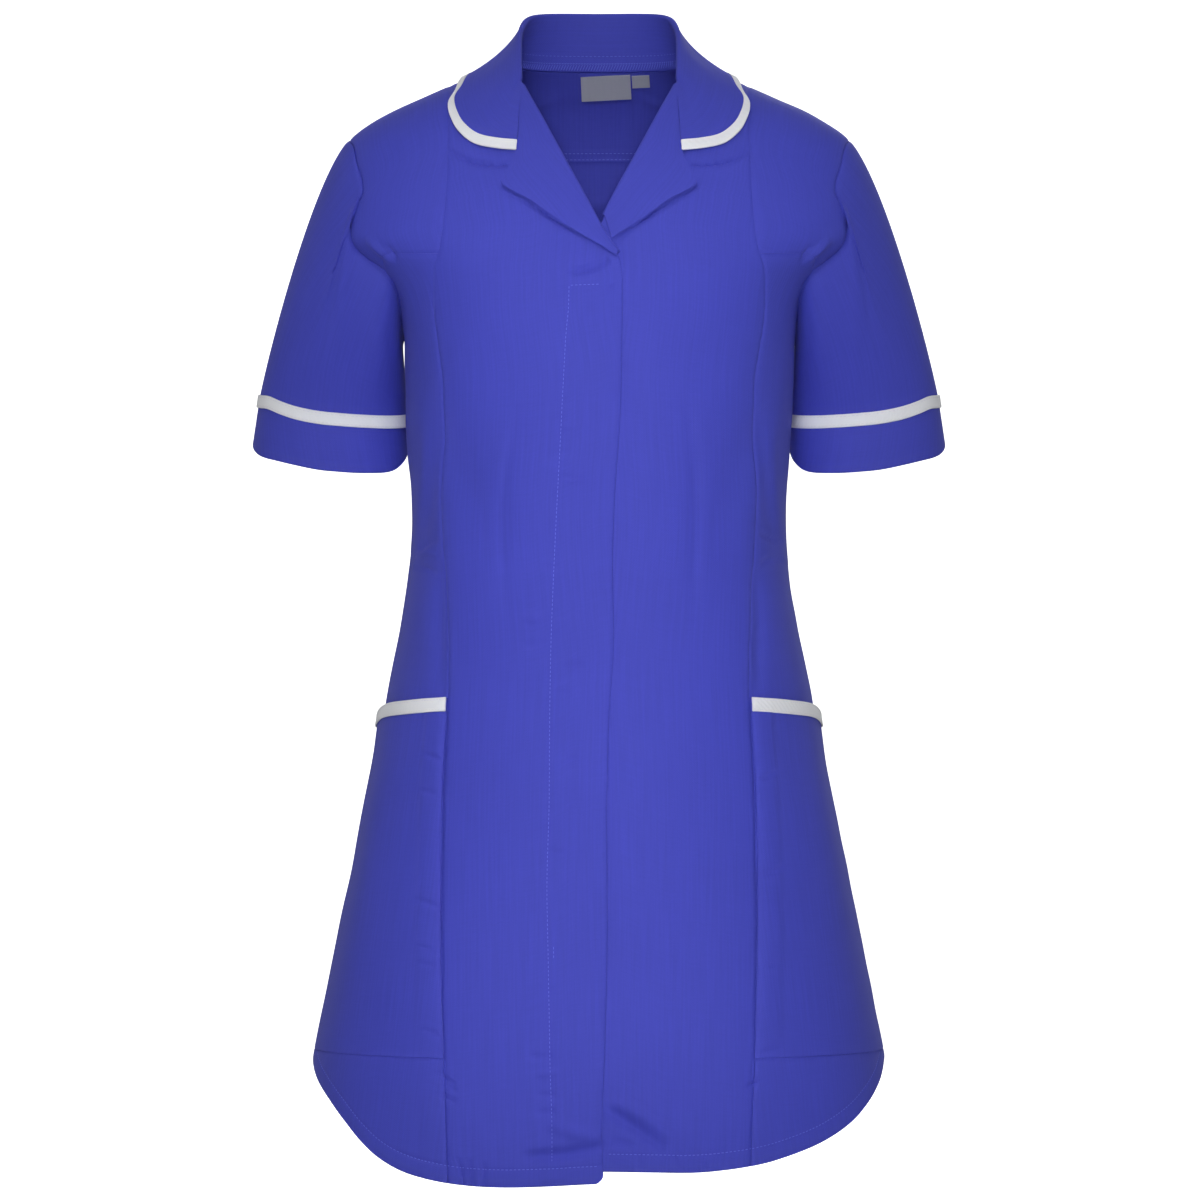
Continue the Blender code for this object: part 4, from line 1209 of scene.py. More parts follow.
@dataclass(frozen=True)
class Weave:
    """A woven cloth: its colour, how it varies, and its threads."""

    name: str
    colour: tuple[float, float, float]
    shade: tuple[float, float, float]
    thread: float = 0.00055  # distance between two ribs of the twill, in metres
    slub: float = 0.35  # strength of the long streaks
    roughness: float = 0.78
    sheen: float = 0.02
    bump: float = 0.00012

    def make(self) -> bpy.types.Material:
        """Twill ribs and long slubs on the cloth's own UV, with a soft change of tone.

        Returns:
            The material.
        """
        nodes = Nodes(self.name)
        flat = nodes.add("ShaderNodeTexCoord", out=2)
        stretch = nodes.add("ShaderNodeMapping", {}, {"Vector": flat, "Scale": (620.0, 16.0, 1.0)})
        slub = nodes.add("ShaderNodeTexNoise", {}, {"Vector": stretch, "Scale": 1.0, "Detail": 3.0})
        weft = nodes.add("ShaderNodeMapping", {}, {"Vector": flat, "Scale": (40.0, 1100.0, 1.0)})
        weft = nodes.add("ShaderNodeTexNoise", {}, {"Vector": weft, "Scale": 1.0, "Detail": 2.0})
        where = nodes.add("ShaderNodeTexCoord", out=3)
        cloud = nodes.add("ShaderNodeTexNoise", {}, {"Vector": where, "Scale": 9.0, "Detail": 3.0})
        wave = nodes.add(
            "ShaderNodeTexWave",
            {"bands_direction": "DIAGONAL"},
            {"Vector": flat, "Scale": 0.2 / self.thread, "Distortion": 0.4},
            out=1,
        )
        tone = (slub - 0.5) * (2.2 * self.slub) + (weft - 0.5) * self.slub + (cloud - 0.5) * 0.4 + 0.5
        colour = nodes.add(
            "ShaderNodeMix",
            {"data_type": "RGBA"},
            {0: tone, 6: (*self.shade, 1.0), 7: (*self.colour, 1.0)},
            out=2,
        )
        bump = nodes.add(
            "ShaderNodeBump", {}, {"Height": wave * 0.6 + slub, "Strength": 0.6, "Distance": self.bump}
        )
        shader = nodes.add(
            "ShaderNodeBsdfPrincipled",
            {},
            {
                "Base Color": colour,
                "Roughness": self.roughness,
                "Sheen Weight": self.sheen,
                "Sheen Roughness": 0.5,
                "Specular IOR Level": 0.42,
                "Normal": bump,
            },
        )
        nodes.add("ShaderNodeOutputMaterial", {}, {"Surface": shader})
        return nodes.material


BLUE = Weave("blue_twill", (0.050, 0.061, 0.515), (0.035, 0.043, 0.370))
WHITE = Weave(
    "white_binding", (0.84, 0.85, 0.88), (0.73, 0.74, 0.78), thread=0.0016, slub=0.2, bump=0.0003
)
GREY = Weave("grey_label", (0.40, 0.41, 0.50), (0.33, 0.34, 0.42), slub=0.2)
THREADS = {
    "blue_thread": Weave("blue_thread", (0.13, 0.17, 0.72), (0.09, 0.12, 0.60), thread=0.0004),
    "white_thread": Weave("white_thread", (0.74, 0.75, 0.80), (0.60, 0.61, 0.67), thread=0.0004),
}


@dataclass
class Sewing:
    """Rows of separate stitches: short closed threads that lie on the cloth.

    Each path is a dense line of points with the cloth's normals, and each stitch is a rod of six
    sides that narrows to a point at both ends.
    """

    name: str
    thread: str
    paths: Sequence[tuple[Array, Array]]
    side: Side = Side.LEFT
    pitch: float = 0.0031
    length: float = 0.0023
    radius: float = 0.00024
    slant: float = 0.0
    sides: int = 6

    def rod(self) -> tuple[Array, Array]:
        """Points of one stitch along, across and out of the cloth, and its triangles.

        Returns:
            The points, and the point numbers of each triangle.
        """
        turn = np.linspace(0, 2 * math.pi, self.sides, endpoint=False)
        ring = np.stack([0 * turn, np.cos(turn), np.sin(turn)], axis=1) * self.radius
        shift = np.array([0.3 * self.length, 0, 0])
        tip = np.array([self.length / 2, 0, -0.4 * self.radius])
        points = [-tip * (1, 1, -1), *(ring - shift), *(ring + shift), tip]
        k = np.arange(self.sides)
        after = (k + 1) % self.sides
        first, second, end = 1 + k, 1 + self.sides + k, np.full(self.sides, 1 + 2 * self.sides)
        faces = [
            np.stack([0 * k, 1 + after, first], axis=1),
            np.stack([first, 1 + after, 1 + self.sides + after], axis=1),
            np.stack([first, 1 + self.sides + after, second], axis=1),
            np.stack([second, 1 + self.sides + after, end], axis=1),
        ]
        return np.array(points), np.concatenate(faces)

    def build(self, name: str) -> bpy.types.Object:
        """Make all the stitches as one mesh.

        Args:
            name: the object's name.

        Returns:
            The object.
        """
        rod, faces = self.rod()
        points = []
        for path, normals in self.paths:
            run = lengths(path)
            at = np.arange(0.5 * self.pitch, run[-1], self.pitch)
            if not len(at):
                continue
            centre, out, ahead = (
                np.stack([np.interp(at, run, values[:, k]) for k in range(3)], axis=1)
                for values in (path, normals, np.gradient(path, axis=0))
            )
            out = unit(out)
            along = unit(ahead - (ahead * out).sum(axis=1, keepdims=True) * out)
            across = np.cross(out, along)
            along, across = (
                math.cos(self.slant) * along + math.sin(self.slant) * across,
                math.cos(self.slant) * across - math.sin(self.slant) * along,
            )
            axes = np.stack([along, across, out], axis=1)
            points.append(centre[:, None] + np.einsum("pk,skx->spx", rod, axes))
        points = np.concatenate(points)
        numbers = faces + len(rod) * np.arange(len(points))[:, None, None]
        triangles = numbers.reshape(-1, 3)
        if self.side is Side.RIGHT:
            triangles = triangles[:, ::-1]
        return mesh_object(name, points.reshape(-1, 3) * (self.side.value, 1, 1), triangles)


def line_on(grid: Array, under: Array, edge: Rim, distance: float) -> tuple[Array, Array]:
    """Line on one face of a wall at a distance from an edge, and the ways out of that face.

    Args:
        grid: points of the face.
        under: points of the other face.
        edge: the edge.
        distance: how far from it the line runs.

    Returns:
        The points of the line, and the ways out at them.
    """
    faces = grid, edge_distance(grid, edge), unit(grid - under)
    grid, off, normals = (edge.ahead(face) for face in faces)
    row = np.argmax(off >= distance, axis=0)
    row = np.maximum(row, 1)
    each = np.arange(grid.shape[1])
    share = (distance - off[row - 1, each]) / (off[row, each] - off[row - 1, each])
    share = np.clip(share, 0, 1)[:, None]
    return tuple(face[row - 1, each] * (1 - share) + face[row, each] * share for face in (grid, normals))


@dataclass
class Wardrobe:
    """The finishes of the tunic, made once, with the record's slot of each."""

    slots: dict[str, Weave] = field(
        default_factory=lambda: {"blue_cloth": BLUE, "white_trim": WHITE, "label_weave": GREY}
    )
    made: dict[str, bpy.types.Material] = field(default_factory=dict)

    def dress(
        self,
        piece: bpy.types.Object,
        slot: str,
        sewing: Sequence[Sewing] = (),
    ) -> None:
        """Finish a piece of cloth and let it stand for its solid.

        Args:
            piece: the piece, named for its node.
            slot: the record's material slot.
            sewing: the rows of stitches in it.
        """
        piece.data.materials.append(self.finish(slot))
        node = piece.name.removesuffix("_cloth")
        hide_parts(node)
        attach(piece, "root")
        threads = [self.thread(piece.name, row) for row in sewing]
        logging.info("%s: %d faces", piece.name, len(piece.data.polygons))

    def finish(self, name: str) -> bpy.types.Material:
        """The material of a slot or a thread, made when it is first asked for.

        Args:
            name: the name of the slot or thread.

        Returns:
            The material.
        """
        if name not in self.made:
            self.made[name] = self.slots.get(name, THREADS.get(name)).make()
        return self.made[name]

    def thread(self, cloth: str, row: Sewing) -> bpy.types.Object:
        """Make a row of stitches in a piece of cloth.

        Args:
            cloth: the name of the cloth's object.
            row: the stitches.

        Returns:
            The object that holds them.
        """
        made = row.build(f"{cloth.removesuffix('_cloth')}_{row.name}")
        made.data.materials.append(self.finish(row.thread))
        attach(made, "root")
        "white_trim" if row.thread == "white_thread" else "blue_cloth"
        return made


WARDROBE = Wardrobe()


# ---- the pieces ------------------------------------------------------------------------------------
def lifted(chart: Array, lift: Array | float = 0.0, thickness: float = CLOTH) -> list[Array]:
    """Seen and hidden points of a chart, its seen face moved out by lift."""
    angle, height = chart[..., 0], chart[..., 1]
    return [on_form(angle, height, lift), on_form(angle, height, lift - thickness)]


@dataclass
class Front:
    """One front panel, from the shoulder and neck down the free edge to the hem."""

    side: Side
    columns: int = 60
    rows: tuple[int, int, int, int] = (18, 24, 32, 390)
    extra_columns: tuple[float, ...] = (0.004, 0.009, 0.014, 0.026, 0.033, 0.047, 0.984, 0.991, 0.996)
    hem_rows: tuple[float, ...] = (
        *(0.0007, 0.0014, 0.0026, 0.0045, 0.0064),
        *(0.0140, 0.0148, 0.0156, 0.0164, 0.0172),
    )
    hem_start: float = 0.0050  # where the covered front's hem stitches start, from the centre
    corner_stitches: int = 4  # points of the hem's line left without stitches at the round corner

    def chart(self) -> Array:
        """Places of the panel: shoulder seam, then rows that end on its free edge and princess seam.

        Returns:
            Rows and columns of places.
        """
        right = self.side is Side.RIGHT
        ends = (SHOULDER_NECK, GORGE, -0.0620, BREAK, hem_corner(front_edge, right))
        seam = (SHOULDER_SEAM, -0.0400, -0.0800, BUST_HEIGHT, hem_corner(princess, right))
        rows = [level(90, 90, np.linspace(SHOULDER_NECK, SHOULDER_SEAM, self.columns + 1))]
        for first, last in zip(ends[1:-1], seam[1:-1]):
            pair = np.array([front_edge(np.array(first)), first]), np.array([princess(last), last])
            rows.append(between(pair, self.columns))
        corners = float(front_edge(np.array(ends[-1]))), float(princess(seam[-1]))
        rows.append(hem_row(*corners, self.columns, right))
        charts = []
        for k, count in enumerate(self.rows):
            free = edge_run(front_edge, ends[k], ends[k + 1], count)
            sewn = edge_run(princess, seam[k], seam[k + 1], count)
            free[-1], sewn[-1] = rows[k + 1][0], rows[k + 1][-1]
            charts.append(blend(rows[k], rows[k + 1], free, sewn))
        chart = finer(stack(charts), 1, self.extra_columns)
        chart = finer(chart, 0, 1 - np.array(self.hem_rows))
        return self.rounded(chart) if right else chart

    def rounded(self, chart: Array, radius: float = 0.0062) -> Array:
        """Chart with its lower free corner pressed from a square's corner to a quarter disc.

        Args:
            chart: places of the panel.
            radius: size of the corner.

        Returns:
            The chart with the places near the corner moved.
        """
        angle, height = chart[..., 0], chart[..., 1]
        x = section_point(angle, height)[..., 0]
        across = np.clip(1 - (x - smooth(FRONT_EDGE, 1, height)) / radius, 0, 1)
        down = np.clip(1 - (height - smooth(HEM, 1, angle)) / radius, 0, 1)
        x = x + radius * across * (1 - np.sqrt(1 - down * down / 2))
        height = height + radius * down * (1 - np.sqrt(1 - across * across / 2))
        corner = (across > 0) & (down > 0)
        return np.stack([np.where(corner, front_angle(x, height), angle), height], axis=-1)

    def placket(self, chart: Array, plain: Array) -> Array:
        """The concealed fly: its row of stitches pulls the cloth in, and its edge is full.

        Args:
            chart: places of the panel.
            plain: the points of the plain form there.

        Returns:
            How far the cloth is lifted.
        """
        sunk, full, rolled, puckered = 0.00045, 0.0002, 0.0005, 0.0006
        down = chart[..., 1]
        off = plain[..., 0] - smooth(FLY, 1, down)
        uneven = 1 + 0.35 * np.sin(down * 410) * np.sin(down * 133)
        fly = full * swell(off + 0.005, 0.004) - sunk * uneven * swell(off, 0.0016)
        roll = -rolled * swell(edge_distance(plain, Rim.FIRST), 0.0012)
        long_wave = np.sin(down * 305 + 2 * np.sin(down * 47)) * np.sin(down * 83 + 1.0)
        wave = long_wave + 0.5 * np.sin(down * 131)
        reach = np.where(off < 0, 0.011, 0.007) * (1 + 0.4 * np.sin(down * 61))
        pucker = puckered * (wave + 0.5) * swell(off, reach)
        return ease((FLY_TOP - down) / FLY_FADE) * (fly + roll + pucker)

    def build(self) -> None:
        """Make and dress the panel."""
        chart = self.chart()
        plain = section_point(chart[..., 0], chart[..., 1])
        lift = relief(chart, self.side) + seamed(plain, (Rim.LAST,)) + hemmed(plain, self.side.value)
        if self.side is Side.LEFT:
            shown = ease((plain[..., 0] + smooth(FRONT_EDGE, 1, chart[..., 1])) / 0.006)
            shown = np.where(chart[..., 1] < BREAK, shown, 1)
            over = np.minimum(front_relief(plain[..., 0], plain[..., 2], Side.RIGHT), 0)
            lift = lift * shown + over * (1 - shown) + overlap_dip(chart[..., 0], chart[..., 1])
        else:
            lift = lift + self.placket(chart, plain)
        seen, hidden = drawn_in(lifted(chart, lift), (Rim.TOP, Rim.LAST))
        rows = [line_on(seen, hidden, Rim.BOTTOM, HEM_BAND)]
        if self.side is Side.RIGHT:
            rows += self.fly_rows(seen, hidden)
            rows[0] = tuple(part[self.corner_stitches :] for part in rows[0])
        else:
            keep = rows[0][0][:, 0] > self.hem_start
            rows[0] = tuple(part[keep] for part in rows[0])
        name = f"front_{self.side.word}_cloth"
        piece = shell(name, seen, hidden, self.side, soft=(Rim.FIRST, Rim.BOTTOM))
        sewing = [Sewing("stitches", "blue_thread", rows, self.side)]
        WARDROBE.dress(piece, "blue_cloth", sewing=sewing)

    def fly_rows(self, seen: Array, hidden: Array) -> list[tuple[Array, Array]]:
        """The fly's row of stitches, the row across its top and the short second row beside it.

        Args:
            seen: points of the outer face.
            hidden: points of the inner face.

        Returns:
            A line of points and ways out for each row of stitches.
        """
        sewn = (seen[:, 0, 2] < FLY[0][0]) & (seen[:, 0, 2] > FLY[-1][0])
        rows, under = seen[sewn], hidden[sewn]
        line = self.cross(rows, under, smooth(FLY, 1, rows[:, 0, 2]))
        bar = np.linspace(-SEAM, FLY[0][1], 12)
        top = (np.repeat(face[:1], len(bar), axis=0) for face in (rows, under))
        tack = (rows[:, 0, 2] < TACK_TOP) & (rows[:, 0, 2] > TACK_FOOT)
        short = self.cross(rows[tack], under[tack], smooth(FLY, 1, rows[tack, 0, 2]) - TACK_STEP)
        return [line, self.cross(*top, bar), short]

    def cross(self, rows: Array, under: Array, x: Array) -> tuple[Array, Array]:
        """Point of each row of the seen face at its own x, and the ways out there.

        Args:
            rows: rows of points of the seen face.
            under: the same of the hidden face.
            x: where each row is read.

        Returns:
            The points and the ways out.
        """
        after = np.clip((rows[:, :, 0] < x[:, None]).sum(axis=1), 1, rows.shape[1] - 1)
        each = np.arange(len(rows))
        low, high = rows[each, after - 1], rows[each, after]
        share = ((x - low[:, 0]) / (high[:, 0] - low[:, 0]))[:, None]
        return (1 - share) * low + share * high, unit(low - under[each, after - 1])


@dataclass
class SideFront:
    """Upper and lower side front of one side, with the pocket and its trim."""

    side: Side
    columns: int = 54
    yoke_columns: int = 30
    yoke_rows: int = 56
    upper_rows: int = 50
    lower_rows: int = 280
    pocket_rows: int = 160
    trim_rows: int = 6
    extra_columns: tuple[float, ...] = (0.004, 0.009, 0.016, 0.986, 0.992, 0.996)
    hem_rows: tuple[float, ...] = (0.0014, 0.0028, 0.0155, 0.0165, 0.0175, 0.0185, 0.0195)
    trim_width: float = 0.0096
    pocket_stand: float = 0.0024
    pocket_bulge: float = 0.0012
    band_width: float = 0.0175
    band_rise: float = 0.0011
    caught_depth: float = 0.0012
    foot_rise: float = 0.0012

    def yoke_chart(self) -> Array:
        """Places of the upper side front, between shoulder, princess seam, armhole and bust seam.

        Returns:
            Rows and columns of places.
        """
        top = level(90, 90, np.linspace(SHOULDER_SEAM, SHOULDER_TIP, self.yoke_columns + 1))
        first = edge_run(princess, SHOULDER_SEAM, BUST_HEIGHT, self.yoke_rows)
        last = edge_run(armhole_front, SHOULDER_TIP, BUST_CORNER, self.yoke_rows)
        return blend(top, bust_seam(self.yoke_columns), first, last)

    def seam(self, height: float) -> float:
        """Angle of the princess seam."""
        return float(princess(height))

    def lower_chart(self) -> Array:
        """Places of the lower side front, from the bust seam and the lower armhole to the hem.

        Returns:
            Rows and columns of places.
        """
        half = self.columns // 2
        armhole = edge_run(armhole_front, BUST_CORNER, ARMHOLE_FOOT, self.columns - half)
        top = np.concatenate([bust_seam(half), armhole[1:]])
        corner = hem_corner(princess, self.side is Side.RIGHT)
        bottom = hem_row(self.seam(corner), 90.0, self.columns, self.side is Side.RIGHT)
        middle = level(self.seam(UNDERARM_LEVEL), 90, np.full(self.columns + 1, UNDERARM_LEVEL))
        upper = edge_run(princess, BUST_HEIGHT, UNDERARM_LEVEL, self.upper_rows)
        lower = edge_run(princess, UNDERARM_LEVEL, corner, self.lower_rows)
        lower[-1] = bottom[0]
        upper_side = between((top[-1] * (0, 1) + (90, 0), middle[-1]), self.upper_rows)
        lower_side = between((middle[-1], bottom[-1]), self.lower_rows)
        chart = stack([blend(top, middle, upper, upper_side), blend(middle, bottom, lower, lower_side)])
        return finer(finer(chart, 1, self.extra_columns), 0, 1 - np.array(self.hem_rows))

    def band(self, chart: Array, plain: Array) -> Array:
        """The princess seam's pressed allowances fill out a band, and it draws the pocket's edge in.

        Args:
            chart: places of the cloth.
            plain: the points of the plain form there.

        Returns:
            How far the cloth is lifted.
        """
        fade = 0.004
        seam = princess(chart[..., 1])
        share = np.clip((chart[..., 0] - seam) / (90 - seam), 0, 1)
        below = ease((smooth(POCKET_MOUTH, 1, share) - chart[..., 1]) / 0.012)
        above_foot = ease((chart[..., 1] - POCKET_FOOT + 0.002) / 0.006) * below
        off = edge_distance(plain, Rim.FIRST)
        caught = self.caught_depth * above_foot * swell(off, fade)
        return self.band_rise * below * (1 - ease((off - self.band_width) / fade)) - caught

    def pocket_chart(self) -> Array:
        """Places of the pocket, from its mouth to its foot.

        Returns:
            Rows and columns of places.
        """
        share = np.linspace(0, 1, self.columns + 1)
        mouth_height = smooth(POCKET_MOUTH, 1, share)
        mouth = level(self.seam(mouth_height[0]), 90, mouth_height)
        foot = level(self.seam(POCKET_FOOT), 90, np.full(self.columns + 1, POCKET_FOOT))
        first = edge_run(princess, mouth_height[0], POCKET_FOOT, self.pocket_rows)
        chart = blend(mouth, foot, first, between((mouth[-1], foot[-1]), self.pocket_rows))
        return finer(chart, 1, self.extra_columns)

    def build(self) -> None:
        """Make and dress the four pieces of this side."""
        self.build_yoke()
        self.build_lower()
        self.build_pocket()

    def build_yoke(self) -> None:
        """Make and dress the upper side front."""
        chart = finer(self.yoke_chart(), 1, (0.008, 0.018, 0.982, 0.992))
        chart = finer(chart, 0, (0.982, 0.992))
        plain = section_point(chart[..., 0], chart[..., 1])
        lift = relief(chart, self.side) + seamed(plain, (Rim.BOTTOM, Rim.FIRST, Rim.LAST))
        seen, hidden = drawn_in(lifted(chart, lift), Rim)
        piece = shell(f"front_yoke_{self.side.word}_cloth", seen, hidden, self.side)
        WARDROBE.dress(piece, "blue_cloth")

    def build_lower(self) -> None:
        """Make and dress the lower side front, a little fuller just below the pocket's foot."""
        chart = self.lower_chart()
        plain = section_point(chart[..., 0], chart[..., 1])
        foot = chart[..., 1] - POCKET_FOOT
        below = self.foot_rise * ease((foot + 0.040) / 0.036) * ease(-foot / 0.0012) * (foot < 0)
        lift = relief(chart, self.side) + seamed(plain, (Rim.TOP, Rim.FIRST, Rim.LAST))
        lift = lift + self.band(chart, plain) + below + hemmed(plain, 2 * self.side.value)
        seen, hidden = drawn_in(lifted(chart, lift), (Rim.TOP, Rim.FIRST, Rim.LAST))
        name = f"side_front_{self.side.word}_cloth"
        piece = shell(name, *tucked(seen, hidden), self.side, soft=(Rim.BOTTOM,))
        paths = [line_on(seen, hidden, Rim.BOTTOM, HEM_BAND)]
        sewing = [Sewing("stitches", "blue_thread", paths, self.side)]
        WARDROBE.dress(piece, "blue_cloth", sewing=sewing)

    def build_pocket(self) -> None:
        """Make and dress the pocket and its trim, which lie on the side front."""
        word = self.side.word
        chart = self.pocket_chart()
        down = np.linspace(0, 1, len(chart))[:, None]
        first = chart[:, :1, 0]
        out = (chart[..., 0] - first) / (90 - first)
        stand = self.pocket_stand * (1 - down) * (0.25 + 0.75 * out)
        lift = REST_GAP + CLOTH + stand + self.pocket_bulge * np.sin(math.pi * down)
        plain = section_point(chart[..., 0], chart[..., 1])
        lift = lift + relief(chart, self.side) + seamed(plain, (Rim.FIRST, Rim.LAST))
        lift = lift + self.band(chart, plain)
        seen, hidden = drawn_in(lifted(chart, lift), (Rim.FIRST, Rim.LAST))
        piece = shell(f"pocket_{word}_cloth", seen, hidden, self.side, soft=(Rim.TOP, Rim.BOTTOM))
        WARDROBE.dress(piece, "blue_cloth")
        share = self.trim_width / (chart[0, 0, 1] - chart[-1, 0, 1])
        spot = np.linspace(0, share, self.trim_rows + 1) * (len(chart) - 1)
        row = np.arange(len(chart))
        angle, height, trim_lift = (
            np.stack([np.interp(spot, row, column) for column in values.T], axis=1)
            for values in (chart[..., 0], chart[..., 1], lift)
        )
        trim = np.stack([angle, height], axis=-1)
        seen, hidden = drawn_in(lifted(trim, trim_lift + REST_GAP + CLOTH), (Rim.FIRST, Rim.LAST))
        piece = shell(f"pocket_trim_{word}_cloth", seen, hidden, self.side, soft=(Rim.TOP, Rim.BOTTOM))
        paths = [line_on(seen, hidden, edge, TRIM_STITCH) for edge in (Rim.TOP, Rim.BOTTOM)]
        sewing = [Sewing("stitches", "white_thread", paths, self.side, radius=TRIM_THREAD)]
        WARDROBE.dress(piece, "white_trim", sewing=sewing)


@dataclass
class Back:
    """The back yoke and the back panel below it."""

    columns: int = 130
    ridge_columns: int = 25
    yoke_rows: int = 24
    upper_rows: int = 60
    lower_rows: int = 200
    extra_columns: tuple[float, ...] = (0.003, 0.008, 0.992, 0.997)
    yoke_extra_rows: tuple[float, ...] = (0.80, 0.84, 0.86, 0.88, 0.90, 0.94, 0.98, 0.99)
    hem_rows: tuple[float, ...] = (0.0014, 0.0028, 0.0135, 0.0145, 0.0155, 0.0165, 0.0175, 0.0185)
    allowance_rise: float = 0.0005
    allowance_stitches: Pair = (0.0014, 0.0062)

    def yoke_chart(self) -> Array:
        """Places from shoulder seam to shoulder seam round the neck, down to the yoke seam.

        Returns:
            Rows and columns of places.
        """
        ridge = self.ridge_columns
        neck = np.linspace(90, 270, self.columns - 2 * ridge + 1)
        around = np.stack([neck, neck_height(180 - np.abs(neck - 180))], axis=1)
        rising = np.linspace(SHOULDER_TIP, SHOULDER_NECK, ridge + 1)[:-1]
        top = np.concatenate([level(90, 90, rising), around, level(270, 270, rising[::-1])])
        first = edge_run(armhole_back, SHOULDER_TIP, YOKE_HEIGHT, self.yoke_rows)
        last = first * (-1, 1) + (360, 0)
        bottom = level(first[-1, 0], last[-1, 0], np.full(len(top), YOKE_HEIGHT))
        return blend(top, bottom, first, last)

    def lower_chart(self) -> Array:
        """Places of the back panel: yoke seam, armholes and side seams, hem.

        Returns:
            Rows and columns of places.
        """
        start = float(armhole_back(YOKE_HEIGHT))
        top = level(start, 360 - start, np.full(self.columns + 1, YOKE_HEIGHT))
        middle = level(90, 270, np.full(self.columns + 1, ARMHOLE_FOOT))
        bottom = hem_row(90, 270, self.columns, False)
        armhole = edge_run(armhole_back, YOKE_HEIGHT, ARMHOLE_FOOT, self.upper_rows)
        sides = between((middle[0], bottom[0]), self.lower_rows)
        upper = blend(top, middle, armhole, armhole * (-1, 1) + (360, 0))
        return stack([upper, blend(middle, bottom, sides, sides * (-1, 1) + (360, 0))])

    def build(self) -> None:
        """Make and dress both pieces."""
        self.build_yoke()
        self.build_lower()

    def build_yoke(self) -> None:
        """Make and dress the yoke, with its seam allowance raised inside and sewn down."""
        chart = finer(self.yoke_chart(), 1, self.extra_columns)
        chart = finer(chart, 0, self.yoke_extra_rows)
        plain = section_point(chart[..., 0], chart[..., 1])
        lift = relief(chart, Side.LEFT) + seamed(plain, (Rim.BOTTOM, Rim.FIRST, Rim.LAST))
        allowance = self.allowance_rise * ease((YOKE_ALLOWANCE - chart[..., 1]) / 0.0012)
        seen, hidden = drawn_in(lifted(chart, lift, CLOTH + allowance), Rim)
        piece = shell("back_yoke_cloth", seen, hidden)
        paths = [line_on(hidden, seen, Rim.BOTTOM, distance) for distance in self.allowance_stitches]
        sewing = [Sewing("stitches", "blue_thread", paths, radius=0.0002)]
        WARDROBE.dress(piece, "blue_cloth", sewing=sewing)

    def build_lower(self) -> None:
        """Make and dress the back panel."""
        chart = finer(self.lower_chart(), 1, self.extra_columns)
        chart = finer(chart, 0, 1 - np.array(self.hem_rows))
        plain = section_point(chart[..., 0], chart[..., 1])
        lift = relief(chart, Side.LEFT) + seamed(plain, (Rim.TOP, Rim.FIRST, Rim.LAST)) + hemmed(plain)
        seen, hidden = drawn_in(lifted(chart, lift), (Rim.TOP, Rim.FIRST, Rim.LAST))
        piece = shell("back_cloth", seen, hidden, soft=(Rim.BOTTOM,))
        sewing = [Sewing("stitches", "blue_thread", [line_on(seen, hidden, Rim.BOTTOM, HEM_BAND)])]
        WARDROBE.dress(piece, "blue_cloth", sewing=sewing)


def turned_edge(place: Array, forward: Array, outward: Array, inside: float, steps: int) -> list[Array]:
    """Seen and hidden points of a half turn: from the garment's inside, over, to its outside.

    Args:
        place: where the turn starts.
        forward: the way over which it turns.
        outward: the way out of the garment.
        inside: radius inside the fold.
        steps: how many spans the turn has.

    Returns:
        The seen and the hidden points.
    """
    turn = np.linspace(-math.pi / 2, math.pi / 2, steps + 1)[:, None]
    ray = np.cos(turn) * forward + np.sin(turn) * outward
    centre = place + inside * outward
    return [centre + (inside + CLOTH) * ray, centre + inside * ray]


